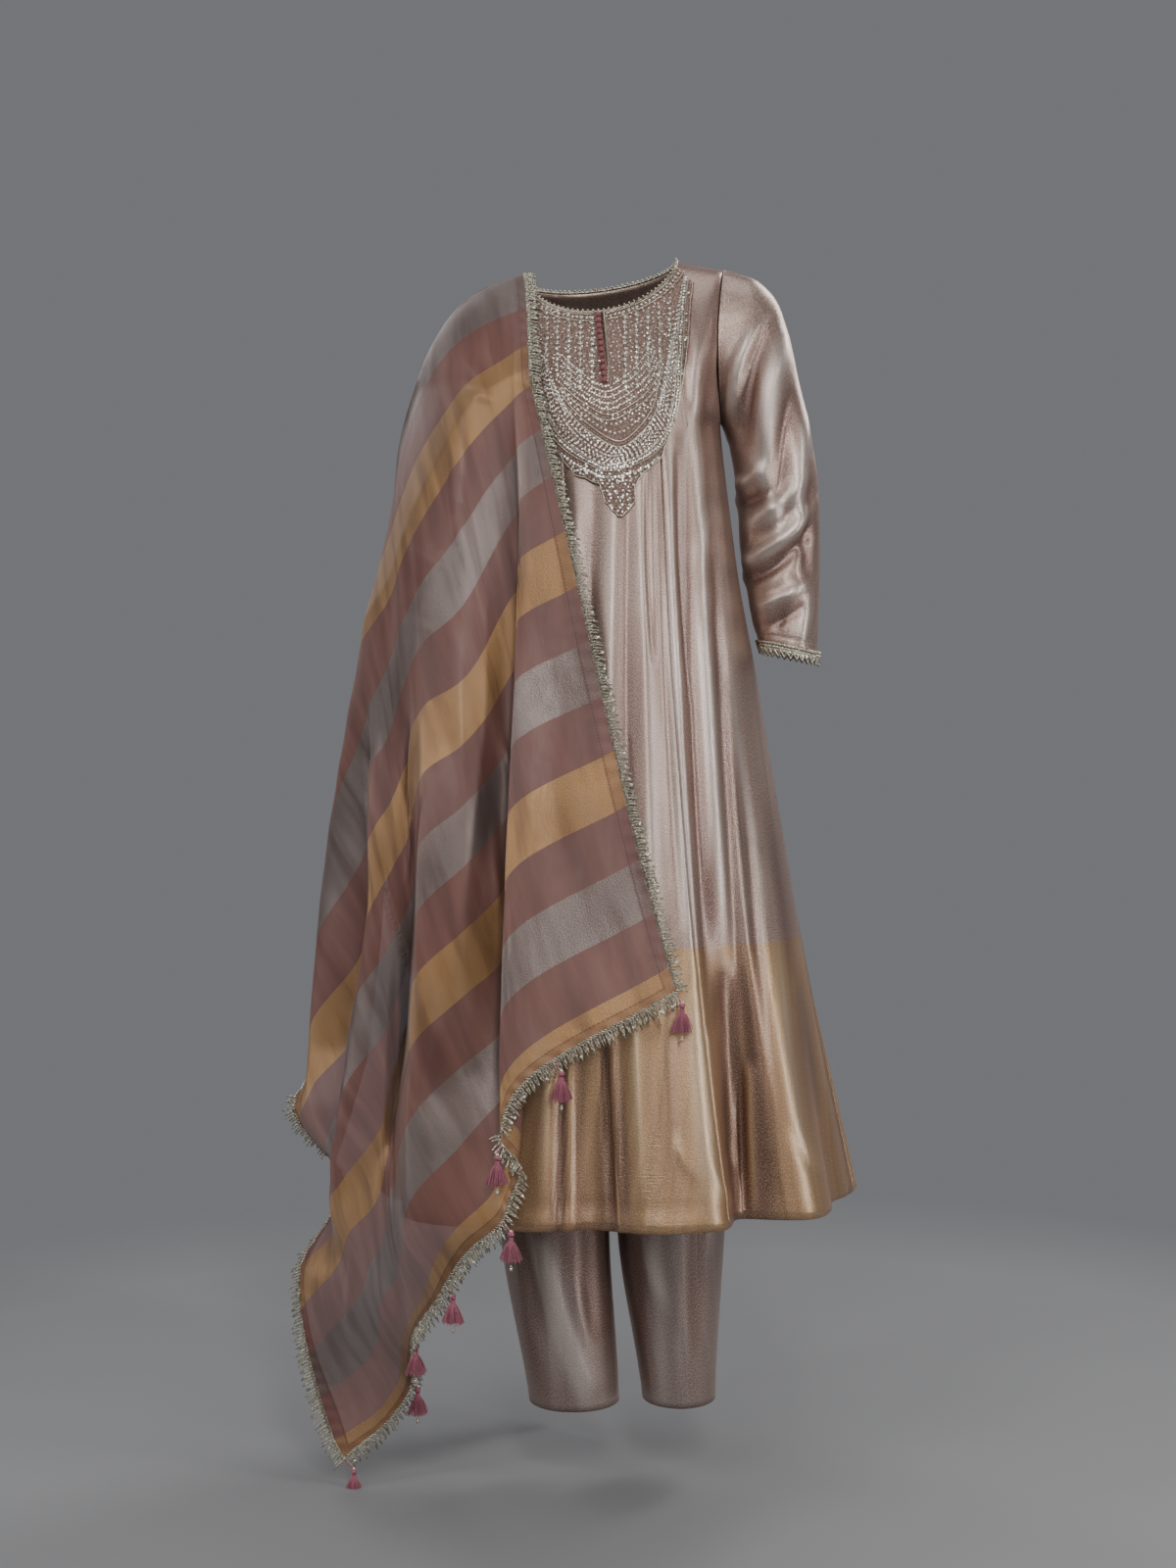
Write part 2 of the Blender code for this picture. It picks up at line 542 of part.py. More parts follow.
# The embroidered yoke: its outer edge from the right shoulder round to the left one, as x and z.
YOKE_EDGE = table("x z",
                  (-0.1190, -0.046), (-0.1115, -0.070), (-0.1035, -0.100), (-0.0960, -0.134),
                  (-0.0880, -0.173), (-0.0790, -0.205), (-0.0640, -0.238), (-0.0450, -0.264),
                  (-0.0160, -0.276), (-0.0100, -0.296), (0.0045, -0.313), (0.0110, -0.313),
                  (0.0250, -0.296), (0.0240, -0.279), (0.0310, -0.266), (0.0540, -0.245),
                  (0.0660, -0.212), (0.0765, -0.173), (0.0835, -0.134), (0.0875, -0.100),
                  (0.0900, -0.066), (0.0945, -0.028))
YOKE_STEPS = (0, 0.20, 0.357, 0.55, 0.78, 1)                # the third is the slit's foot


def yoke_grid():
    """Points of the yoke on the kurta's front, from the neck edge out, right to left shoulder."""
    turns = np.linspace(0.06, 0.94, len(YOKE_EDGE["x"]))
    places, outer = list(turns), [(x, z) for x, z in zip(YOKE_EDGE["x"], YOKE_EDGE["z"])]
    middle = len(turns) // 2
    columns = []
    for k, (turn, (x, z)) in enumerate(zip(places, outer)):
        start = neckline(turn)
        if k in (middle - 1, middle):
            start = neckline(0.5)
            start[0] = SLIT_X + (-1 if k < middle else 1) * (SLIT_HALF + 0.0006)
        steps = np.array(YOKE_STEPS)
        px = start[0] + (x - start[0]) * steps ** (2.2 if k in (middle - 1, middle) else 1.8)
        pz = start[2] - 0.0015 + (z - start[2] + 0.0015) * steps
        columns.append(kurta_point(front_share(px, pz), pz, True))
    return np.stack(columns, 1)


def yoke():
    grid = yoke_grid()[::-1]
    normals = grid_normals(grid)
    middle = grid.shape[1] // 2
    rows = grid.shape[0] - 1

    def keep(i, j):
        return not (j == middle - 1 and i >= rows - 2)
    wall("yoke", grid, normals, 0.0012, EMBROIDERY, keep=keep, lift=0.0034)


def cord(name, centres, radius, look, sides=6):
    """A closed cord round a loop of centre points."""
    centres = np.array(centres)
    ahead = np.roll(centres, -1, 0) - np.roll(centres, 1, 0)
    ahead /= np.linalg.norm(ahead, axis=1, keepdims=True)
    up = np.array([0, 0, 1.0])
    side = np.cross(ahead, up)
    side /= np.linalg.norm(side, axis=1, keepdims=True)
    over = np.cross(side, ahead)
    angles = np.arange(sides) * 2 * math.pi / sides
    rings = (centres[:, None] + radius * (side[:, None] * np.cos(angles)[None, :, None]
                                          + over[:, None] * np.sin(angles)[None, :, None]))
    count = len(centres)
    faces = [(i * sides + k, i * sides + (k + 1) % sides, (i + 1) % count * sides + (k + 1) % sides,
              (i + 1) % count * sides + k) for i in range(count) for k in range(sides)]
    return add_mesh(name, rings.reshape(-1, 3), faces, look)


def neck_binding(front, back):
    """A cord just clear of the panels' own neck edges, front and back."""
    rim = []
    for grid, normals in (front, back):
        inside = abs(grid[-1, :, 0] - level("centre", 0)) <= NECK_HALF + 0.002
        for (a, b), (n, m) in zip(zip(grid[-1, inside], grid[-1, inside][1:]),
                                  zip(normals[-1, inside], normals[-1, inside][1:])):
            out = np.cross(n + m, b - a)
            out *= np.sign(out[2] + 1e-9) / np.linalg.norm(out)
            rim += [a * (1 - u) + b * u + out * 0.0046 for u in (0.25, 0.75)]
    cord("neck_binding", rim, 0.0019, METAL_TRIM, sides=4)


def slit_point(down, lift):
    """A point down the slit, standing off the kurta's surface."""
    z = neckline(0.5)[2] - down
    here, below = [kurta_point(front_share(SLIT_X, h), h, True) for h in (z, z - 0.01)]
    out = np.cross(np.array([1.0, 0, 0]), here - below)
    return here + out / np.linalg.norm(out) * lift


def buttons():
    for k in range(BUTTONS):
        down = 0.006 + k * (SLIT_LENGTH - 0.008) / (BUTTONS - 1)
        bpy.ops.mesh.primitive_uv_sphere_add(segments=6, ring_count=4, radius=BUTTON_RADIUS,
                                             location=tuple(slit_point(down, 0.0088)))
        obj = bpy.context.object
        obj.name = f"button_{k + 1:02d}"
        obj.data.materials.append(material(obj.name, *MAROON))


# ---------------------------------------------------------------- sleeves
SLEEVE_SIDES = 14


def sleeve(name, rings, trim_name):
    steps = len(rings["mid"])
    down = np.linspace(0, 1, steps)[:, None]
    angle = np.arange(SLEEVE_SIDES)[None, :] * 2 * math.pi / SLEEVE_SIDES
    grid = sleeve_point(rings, down, angle)
    normals = grid_normals(grid, wrap=True)
    centre = grid.mean(1, keepdims=True)
    if ((grid - centre) * normals).sum() < 0:
        normals = -normals
    wall(name, grid, normals, KURTA_WALL, MAUVE_SILK, wrap=True)
    cuff = np.stack([grid[-1] * 0.35 + grid[-2] * 0.65, grid[-1]])
    away = cuff[1] - cuff[0]
    away /= np.linalg.norm(away, axis=-1, keepdims=True)
    band = np.stack([cuff[1] - away * 0.004, cuff[1] + away * 0.008])
    wall(trim_name, band, np.stack([normals[-1]] * 2), 0.002, METAL_TRIM, wrap=True, lift=0.0032)


# ---------------------------------------------------------------- trousers
def trousers():
    heights = np.array([TROUSER_HEM_Z, -1.28, -1.16, -0.95, -0.71, -0.655, -0.60, -0.52, WAIST_Z])
    for name, leg, side in (("left", LEFT_LEG, 1), ("right", RIGHT_LEG, -1)):
        for front in (True, False):
            q = np.linspace(0, 1, 8)
            grid = leg_point(leg, side, q[None, :], heights[:, None], front)
            normals = grid_normals(grid)
            outward = np.array([0, -1.0 if front else 1.0, 0])
            if (normals * outward).sum() < 0:
                normals = -normals
            normals[:, -1, 1] = 0
            normals[:5, 0, 1] = 0
            normals[6:, 0, 0] = 0
            normals /= np.linalg.norm(normals, axis=-1, keepdims=True)
            wall(f"trouser_{'front' if front else 'back'}_{name}", trim_columns(grid, True, True),
                 normals, TROUSER_WALL, MAUVE_SILK_DARK)


def waistband():
    angle = np.arange(24)[None, :] * 2 * math.pi / 24
    z = np.array([WAIST_Z + SEAM_GAP + 0.0003, WAIST_Z + 0.036])[:, None]
    half, front, back = [along(HIPS["z"], HIPS[n], z) for n in ("half", "front", "back")]
    depth = np.where(np.sin(angle) < 0, front, back)
    grid = np.stack([half * np.cos(angle), depth * np.sin(angle), z + 0 * angle], -1)
    normals = np.stack([np.cos(angle), np.sin(angle), 0 * angle], -1) + np.zeros_like(grid)
    wall("trouser_waistband", grid, normals, 0.003, MAUVE_SILK_DARK, wrap=True)


# ---------------------------------------------------------------- dupatta and its trims
FRONT_ROWS, BACK_ROWS = 17, 12
FRONT_COLUMNS = (0, .045, .09, .13, .17, .21, .25, .29, .335, .385, .43, .48, .53, .58, .63, .68,
                 .73, .77, .81, .855, .90)


def dupatta_halves():
    """The two halves as (name, surface, row of widths, grid of points, outward normals)."""
    halves = []
    for name, surface, other, rows, ts, way in (
            ("front", dupatta_front, dupatta_back, FRONT_ROWS, FRONT_COLUMNS, (-0.6, -1, 0.3)),
            ("back", dupatta_back, dupatta_front, BACK_ROWS,
             np.linspace(0, DUPATTA_WIDTH, 4 * BACK_PLEATS + 1), (-0.4, 1, 0.3))):
        ts = np.array(ts)
        reach = np.linspace(0, 1, rows) ** (1.2 if name == "front" else 1.8)
        grid = surface(reach[:, None], ts[None, :])
        normals = grid_normals(grid)
        if (normals * np.array(way)).sum() < 0:
            normals = -normals
        step = grid[1] - other(0.03, ts)
        normals[0] = np.cross(np.gradient(grid[0], axis=0), step)
        normals[0] /= np.linalg.norm(normals[0], axis=-1, keepdims=True)
        normals[0] *= np.sign((normals[0] * np.array((-0.5, 0, 1))).sum(-1, keepdims=True))
        grid[0] += step / np.linalg.norm(step, axis=-1, keepdims=True) * 0.0015
        halves.append((name, surface, ts, grid, normals))
    return halves


def fringe(name, edge, inside, normals):
    """A slab of the fringe's reach beyond an edge of the cloth, drooping a little."""
    out = edge - inside
    out /= np.linalg.norm(out, axis=1, keepdims=True)
    hang = out + np.array([0, 0, -0.3])
    hang -= normals * (hang * normals).sum(-1, keepdims=True)
    hang /= np.linalg.norm(hang, axis=1, keepdims=True)
    grid = np.stack([edge + hang * reach for reach in (0.0022, FRINGE_REACH)])
    wall(name, grid, np.stack([normals] * 2), 0.0016, METAL_TRIM)


def dupatta():
    for name, _, _, grid, normals in dupatta_halves():
        wall(f"dupatta_{name}", grid, normals, DUPATTA_WALL, ORGANZA)
        inner = slice(1, -1)
        fringe(f"fringe_{name}_inner", grid[inner, 0], grid[inner, 1], normals[inner, 0])
        fringe(f"fringe_{name}_outer", grid[inner, -1], grid[inner, -2], normals[inner, -1])
        fringe(f"fringe_{name}_end", grid[-1, inner], grid[-2, inner], normals[-1, inner])


def tassel(name, top, lean=(0, 0)):
    profile = ((0.0000, 0.0025), (0.005, 0.0042), (0.010, 0.0030), (TASSEL_LENGTH, 0.0095))
    sides = 5
    points, faces = [], []
    for drop, radius in profile:
        for k in range(sides):
            a = 2 * math.pi * k / sides
            points.append((top[0] + radius * math.cos(a) + lean[0] * drop,
                           top[1] + radius * math.sin(a) + lean[1] * drop, top[2] - drop))
    rings = len(profile)
    for i in range(rings - 1):
        faces += [(i * sides + k, (i + 1) * sides + k, (i + 1) * sides + (k + 1) % sides,
                   i * sides + (k + 1) % sides) for k in range(sides)]
    faces += [tuple(reversed(range(sides))), tuple((rings - 1) * sides + k for k in range(sides))]
    return add_mesh(name, points, faces, TASSEL_SILK)


def tassels():
    for name, surface, drop in (("front", dupatta_front, 0.012), ("back", dupatta_back, 0.033)):
        for k in range(TASSELS_PER_END):
            t = DUPATTA_WIDTH * k / (TASSELS_PER_END - 1)
            edge = surface(1.0, t)
            away = edge - surface(0.99, t)
            away *= (FRINGE_REACH + 0.002) / np.linalg.norm(away)
            tassel(f"tassel_{name}_{k + 1}", edge + away - np.array([0, 0, drop]))


# ---------------------------------------------------------------- the set
for old in list(bpy.data.objects):
    bpy.data.objects.remove(old, do_unlink=True)

kurta_panels()
yoke()
buttons()
sleeve("sleeve_left", LEFT_SLEEVE, "cuff_trim_left")
sleeve("sleeve_right", RIGHT_SLEEVE, "cuff_trim_right")
trousers()
waistband()
dupatta()
tassels()
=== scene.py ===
"""Looks of the salwar kameez suit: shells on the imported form, their creases, weaves and trims.

Metres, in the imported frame: +Z up, front -Y, wearer's left +X.
"""
import math
from functools import partialmethod

import bpy
import numpy as np
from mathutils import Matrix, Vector


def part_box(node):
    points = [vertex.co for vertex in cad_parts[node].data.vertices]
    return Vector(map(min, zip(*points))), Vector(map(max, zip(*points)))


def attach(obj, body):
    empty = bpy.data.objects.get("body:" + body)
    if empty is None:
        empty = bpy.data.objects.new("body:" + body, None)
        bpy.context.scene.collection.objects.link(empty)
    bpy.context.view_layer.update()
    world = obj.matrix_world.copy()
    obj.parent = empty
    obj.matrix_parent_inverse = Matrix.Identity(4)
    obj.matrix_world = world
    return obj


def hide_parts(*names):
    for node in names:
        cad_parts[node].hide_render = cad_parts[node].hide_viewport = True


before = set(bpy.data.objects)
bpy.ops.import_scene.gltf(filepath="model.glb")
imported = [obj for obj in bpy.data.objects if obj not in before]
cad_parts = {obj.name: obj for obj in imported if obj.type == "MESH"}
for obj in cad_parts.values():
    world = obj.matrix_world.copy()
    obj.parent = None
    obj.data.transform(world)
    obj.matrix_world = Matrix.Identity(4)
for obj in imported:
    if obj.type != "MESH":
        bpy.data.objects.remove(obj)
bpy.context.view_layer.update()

# ---------------------------------------------------------------- the set's sizes
HEM_Z = -1.133
ARMPIT_Z, ARMPIT_ROLL = -0.205, 0.013
SHOULDER_SLOPE, SHOULDER_DROP = 0.130, 0.300
NECK_HALF, NECK_DEPTH_FRONT, NECK_DEPTH_BACK = 0.0925, 0.060, 0.018
TIP_HALF = 0.148
ARMHOLE_BULGE, ARMHOLE_GAP = 0.045, 0.0009
SLIT_LENGTH, SLIT_HALF, SLIT_X = 0.088, 0.0016, -0.0150
SLIT_PLACE, SLIT_TURN, SLIT_LEAN = -0.068, 0.165, 0.09
BUTTONS = 12
DUPATTA_WIDTH, FRONT_REACH, BACK_S_END = 0.90, 0.89, -0.995
BORDER_Z = -0.812           # top of the kurta's gold border
BANDS = 0.27                # length of one repeat of the dupatta's bands
WAIST_Z, CROTCH_Z, TROUSER_HEM_Z = -0.430, -0.670, -1.388


def mm(columns, text, per=1000):
    """A table as an array. Its rows stand between commas, in millimetres and thousandths."""
    return np.array(text.replace(",", " ").split(), float).reshape(-1, columns) / per


def table(names, text, per=1000):
    """Columns of such a table, by name."""
    names = names.split()
    return dict(zip(names, mm(len(names), text, per).T))


def bound(u):
    return np.clip(u, 0, 1)


def bell(x, width):
    """1 where x is 0, falling away over width on both sides."""
    return np.exp(-(x / width) ** 2)


def stack(*parts):
    """Columns side by side, spread to one shape."""
    return np.stack(np.broadcast_arrays(*parts), -1)


def turns(count):
    """Angles at an even pitch round a full turn."""
    return np.arange(count) * 2 * math.pi / count


def run_along(points, axis=0):
    """Distance of each point of a line or grid from the first one along an axis."""
    steps = np.linalg.norm(np.diff(points, axis=axis), axis=-1)
    return np.concatenate([0 * steps.take([0], axis), steps.cumsum(axis)], axis)


# ---------------------------------------------------------------- smooth tracks through tables
def knot_slopes(x, y):
    """Slopes at the knots that never overshoot them; the knots run along the last axis."""
    h = np.diff(x)
    d = np.diff(y) / h
    m = np.zeros_like(y)
    before, after = d[..., :-1], d[..., 1:]
    w1, w2 = 2 * h[..., 1:] + h[..., :-1], h[..., 1:] + 2 * h[..., :-1]
    same = before * after > 0
    safe_b, safe_a = np.where(same, before, 1), np.where(same, after, 1)
    m[..., 1:-1] = np.where(same, (w1 + w2) / (w1 / safe_b + w2 / safe_a), 0)
    m[..., 0], m[..., -1] = d[..., 0], d[..., -1]
    return m


def hermite(x0, x1, y0, y1, m0, m1, x):
    """A cubic between two knots with slopes m0 and m1, carried on straight past them."""
    h = x1 - x0
    u = bound((x - x0) / h)
    a, b = 2 * u ** 3 - 3 * u ** 2 + 1, u ** 3 - 2 * u ** 2 + u
    c, d = 1 - a, u ** 3 - u ** 2
    past = np.where(x < x0, (x - x0) * m0, np.where(x > x1, (x - x1) * m1, 0))
    return a * y0 + b * h * m0 + c * y1 + d * h * m1 + past


def along(xs, ys, x):
    """A smooth track through (xs, ys), read at x; one table for every x."""
    xs, ys, x = np.asarray(xs, float), np.asarray(ys, float), np.asarray(x, float)
    if xs[0] > xs[-1]:
        xs, ys = xs[::-1], ys[::-1]
    m = knot_slopes(xs, ys)
    k = np.clip(np.searchsorted(xs, x, side="right") - 1, 0, len(xs) - 2)
    return hermite(xs[k], xs[k + 1], ys[k], ys[k + 1], m[k], m[k + 1], x)


def along_each(xs, ys, x):
    """The same, where every x has its own knots in the last axis of xs and ys."""
    m = knot_slopes(xs, ys)
    k = np.clip((x[..., None] >= xs).sum(-1) - 1, 0, xs.shape[-1] - 2)[..., None]

    def at(values, offset):
        return np.take_along_axis(values, k + offset, -1)[..., 0]

    return hermite(at(xs, 0), at(xs, 1), at(ys, 0), at(ys, 1), at(m, 0), at(m, 1), x)


def ease(u):
    """A smooth step from 0 to 1."""
    u = bound(u)
    return u * u * (3 - 2 * u)


# ---------------------------------------------------------------- kurta form
# One row per level: centre, half width, depth in front and behind, and the share of the
# half width at which the panel seams run.
KURTA = table("z centre half front back seam", """
    0 -15 130 118 95 350, -200 -4 135.5 122 100 420, -350 3 146.5 128 105 390,
    -500 6 170 142 124 360, -700 6 205 165 146 370, -850 6 230 187 162 400,
    -1000 5 258 212 180 430, -1150 5 288 238 200 475""")
ARMHOLE = table("rise half", """
    0 135.5, 250 133, 500 134, 750 139, 1000 148""")

# One row per large fold of the skirt: where it meets the hem and how wide it is (degrees round
# from the front, wearer's left positive), how far it stands out (+) or in (-) and how high it
# reaches (metres).
SKIRT_FOLDS = table("angle width depth top", """
    -6 9 -0.024 -0.78, 36 9 -0.046 -0.66, 27 6 0.01 -0.8, 52 9 0.012 -0.74, -50 14 0.022 -0.6,
    -72 8 -0.02 -0.72, 74 8 -0.014 -0.78, 102 13 0.02 -0.7, 123 9 -0.03 -0.66, 148 12 0.018 -0.72,
    172 10 -0.028 -0.62, -104 13 0.018 -0.72, -126 9 -0.03 -0.68, -152 12 0.016 -0.74""", 1)


def level(name, z):
    return along(KURTA["z"], KURTA[name], z)


def shoulder_z(share):
    d = np.asarray(share) * TIP_HALF
    return -0.008 + SHOULDER_SLOPE * d - SHOULDER_DROP * np.maximum(0, abs(d) - NECK_HALF)


def armpit_z(share):
    return ARMPIT_Z + ARMPIT_ROLL * np.asarray(share)


def top_z(share, front):
    """Neckline inside the neck point, shoulder seam outside it."""
    d = np.asarray(share) * TIP_HALF
    depth = NECK_DEPTH_FRONT if front else NECK_DEPTH_BACK
    dip = np.sqrt(bound(1 - (d / NECK_HALF) ** 2))
    return shoulder_z(share) - depth * dip


def fold_push(angle, z):
    """How far the skirt's folds push the cloth in or out at a level."""
    push = 0.0
    for fold_angle, width, depth, top in zip(*SKIRT_FOLDS.values()):
        reach = ease((top - z) / (top - HEM_Z))
        gap = (np.asarray(angle) - fold_angle + 180) % 360 - 180
        push = push + depth * reach * np.exp(-(gap / width) ** 2)
    return push


def kurta_point(share, z, front):
    """A point of the kurta's mid surface; share is -1..1 across the front or the back."""
    share, z = np.broadcast_arrays(np.asarray(share, float), np.asarray(z, float))
    rise = bound((z - armpit_z(share)) / (shoulder_z(share) - armpit_z(share)))
    upper = rise > 0
    half = np.where(upper, along(ARMHOLE["rise"], ARMHOLE["half"], rise), level("half", z))
    flat = np.sqrt(bound(1 - share ** 2))
    roll = bound(1 - rise ** 1.6) ** (0.6 if front else 0.5)
    depth = level("front" if front else "back", z) * roll
    bulge = ARMHOLE_BULGE * 2 * np.sqrt(bound(rise * (1 - rise))) * share ** 4
    angle = np.degrees(np.arctan2(share, flat))
    angle = angle if front else 180 - angle
    push = fold_push(angle, z)
    x = level("centre", z) + share * half + push * share
    y = depth * flat + bulge + push * flat
    return stack(x, -y if front else y, z)


def front_share(x, z):
    """The share across the front at which the mid surface stands at x, z."""
    x, z = np.broadcast_arrays(np.asarray(x, float), np.asarray(z, float))
    share = x * 0.0
    for _ in range(12):
        rise = bound((z - armpit_z(share)) / (shoulder_z(share) - armpit_z(share)))
        half = np.where(rise > 0, along(ARMHOLE["rise"], ARMHOLE["half"], rise), level("half", z))
        share = np.clip((x - level("centre", z)) / half, -1, 1)
    return share


# ---------------------------------------------------------------- dupatta form
# The cloth's own coordinates are s, its length (about zero on the shoulder, FRONT_REACH at the
# front end), and t, its width (0 at the neck edge, DUPATTA_WIDTH at the outer edge). Along the
# length the cloth falls by a simple rule; the folds hang straight down, so their places are
# stated level by level.
SHOULDER = table("t s z x y", """
    0 -90 -10 -108 0, 50 -80 -26 -152 0, 100 -70 -52 -190 0, 150 -60 -90 -217 0,
    200 -50 -131 -236 6, 330 -45 -238 -268 52, 500 -40 -377 -278 90, 700 -35 -541 -284 122,
    900 -30 -705 -292 150""")
LEVELS = np.array([-0.15, -0.30, -0.50, -0.72, -0.95, -1.03, -1.13, -1.23, -1.42, -1.47])
# A row per fold line; each cell is (t, x, y) of that fold at one of the LEVELS.
FOLD_LINES = {
    "inner edge": """
        0 -98 -112, 0 -63 -146, 0 -18 -160, 0 33 -186, 0 100 -228, 0 130 -238, 0 160 -240,
        0 160 -230, 0 160 -230, 0 160 -230""",
    "ridge 1": """
        22 -116 -114, 45 -110 -158, 71.5 -115 -176, 127 -124.2 -214, 200 -129.6 -246,
        250 -128 -258, 270 -122 -262, 300 -120 -240, 300 -120 -220, 300 -120 -220""",
    "turn 1": """
        30 -121 -113, 56 -111 -148, 105 -96 -158, 172 -98 -186, 250 -101 -216, 290 -106 -236,
        330 -108 -248, 360 -112 -225, 360 -112 -205, 360 -112 -205""",
    "exit 1": """
        38 -127 -112, 68 -120 -140, 141 -119 -148, 222 -128 -168, 313 -134.5 -196, 342 -137 -222,
        386 -121 -252, 420 -124 -215, 420 -124 -190, 420 -124 -190""",
    "middle of the second panel": """
        85 -168 -98, 140 -166 -138, 235 -178 -166, 278 -175 -196, 349 -175 -200, 390 -175.5 -214,
        443 -176 -230, 500 -180 -200, 500 -180 -170, 500 -180 -170""",
    "ridge 2": """
        125 -196 -80, 225 -223 -104, 262 -218 -158, 334 -224 -206, 413 -234.5 -204,
        457 -238.5 -204, 522 -239.5 -202, 615 -235 -150, 640 -232 -80, 640 -232 -80""",
    "valley 2": """
        150 -211 -64, 268 -248 -72, 320 -246 -126, 395 -234 -126, 490 -252 -76, 540 -262 -86,
        590 -258 -150, 660 -256 -116, 710 -228 -30, 710 -228 -30""",
    "ridge 3": """
        168 -220 -52, 300 -261 -52, 385 -270 -86, 448 -260 -118, 575 -272 -104, 632 -274.5 -104,
        690 -282.5 -104, 705 -281 -100, 770 -236 4, 770 -236 4""",
    "ridge 4": """
        182 -226 -40, 318 -268 -36, 412 -288 -58, 505 -288 -106, 635 -320 -82, 700 -330 -90,
        775 -340 -74, 765 -300 -84, 835 -272 -22, 820 -276 -30""",
    "turn 4": """
        191 -229.5 -30, 330 -272 -24, 425 -298 -42, 550 -276 -62, 700 -297 -18, 760 -318 -36,
        815 -344 -34, 810 -328 -72, 858 -290 -34, 850 -290 -36""",
    "exit 4": """
        198 -232 -20, 340 -274.5 -12, 440 -308 -22, 598 -300 -40, 760 -325 12, 810 -348 -10,
        850 -340 -6, 845 -350 -56, 874 -308 -40, 868 -300 -42""",
    "outline": """
        205 -234.5 -8, 350 -277 4, 460 -316.5 10, 668 -354 16, 825 -377 30, 860 -379 0,
        878 -336 10, 875 -369 -42, 888 -326 -45, 884 -309 -46""",
    "outer edge": """
        240 -243 22, 420 -270 70, 660 -286 104, 900 -302 140, 900 -342 96, 900 -394 10,
        900 -334 24, 900 -383 -30, 900 -343 -50, 900 -316 -50""",
}
FOLDS = np.array([mm(3, text) for text in FOLD_LINES.values()])
# The back half hangs plainly: where its two edges stand, and its pleats, at each level.
BACK = table("z inner outer depth edge pleat", """
    -30 -107 -180 44 0 0, -60 -104 -196 76 0 0, -100 -100 -222 108 4 0, -150 -93 -240 124 16 0,
    -220 -80 -264 128 45 2, -350 -54 -277 130 84 6, -500 -20 -282 148 114 12,
    -720 30 -290 172 152 20, -950 75 -222 198 176 22, -1130 84 -155 232 215 22,
    -1420 90 -45 232 215 20""")
BACK_PLEATS = 5
BACK_END = (-0.940, -0.46)  # height of the back end at the inner edge, and its fall per metre


def free_fall(s, t):
    """Height of the cloth where nothing holds it up but the shoulder."""
    return -0.02 - 0.985 * s + 0.05 * s * s - (0.79 - 0.145 * s) * t


def shoulder_line(t):
    return [along(SHOULDER["t"], SHOULDER[name], t) for name in ("s", "z", "x", "y")]


def front_height(s, t):
    """Height of the front half: the free fall, eased onto the shoulder near the neck."""
    s0, z0, _, _ = shoulder_line(t)
    near = bound(1 - (s - s0) / (0.25 - s0)) ** 1.3
    return free_fall(s, t) + (z0 - free_fall(s0, t)) * near


def fold_places(z):
    """t, x and y of every fold line at each height z."""
    levels, lines = LEVELS[::-1], FOLDS.transpose(2, 0, 1)[..., ::-1]
    m = knot_slopes(np.broadcast_to(levels, lines.shape), lines)
    k = np.clip(np.searchsorted(levels, z, side="right") - 1, 0, len(levels) - 2)
    z0, z1 = levels[k], levels[k + 1]
    zc = np.clip(z, levels[0], levels[-1])
    return [hermite(z0[..., None], z1[..., None], np.moveaxis(c[:, k], 0, -1),
                    np.moveaxis(c[:, k + 1], 0, -1), np.moveaxis(n[:, k], 0, -1),
                    np.moveaxis(n[:, k + 1], 0, -1), zc[..., None])
            for c, n in zip(lines, m)]


def dupatta_front(reach, t):
    """Mid surface of the front half; reach runs 0 at the shoulder to 1 at the front end."""
    reach, t = np.broadcast_arrays(np.asarray(reach, float), np.asarray(t, float))
    s0, z0, x0, y0 = shoulder_line(t)
    s = s0 + reach * (FRONT_REACH - s0)
    z = front_height(s, t)
    ts, xs, ys = fold_places(z)
    x, y = along_each(ts, xs, t), along_each(ts, ys, t)
    hang = bound((z0 - z) / 0.13) ** 0.6
    hang = np.where(z0 - z > 0.13, 1, hang)
    return stack(x0 + (x - x0) * hang, y0 + (y - y0) * hang, z)


def dupatta_back(reach, t):
    """Mid surface of the back half; reach runs 0 at the shoulder to 1 at the back end."""
    reach, t = np.broadcast_arrays(np.asarray(reach, float), np.asarray(t, float))
    _, z0, x0, y0 = shoulder_line(t)
    z = z0 + (BACK_END[0] + BACK_END[1] * t - z0) * reach
    widest = np.clip(along(SHOULDER["z"], SHOULDER["t"], z), 0.05, DUPATTA_WIDTH)
    across = bound(t / widest)
    inner, outer, depth, edge, pleat = [along(BACK["z"], BACK[n], z)
                                        for n in ("inner", "outer", "depth", "edge", "pleat")]
    x = inner + (outer - inner) * across
    wave = pleat * (1 - np.cos(2 * math.pi * BACK_PLEATS * t / DUPATTA_WIDTH))
    y = edge + (depth - edge) * (1 - across ** 4) + wave
    hang = bound((z0 - z) / 0.05) ** 0.5
    return stack(x0 + (x - x0) * hang, y0 + (y - y0) * hang, z)


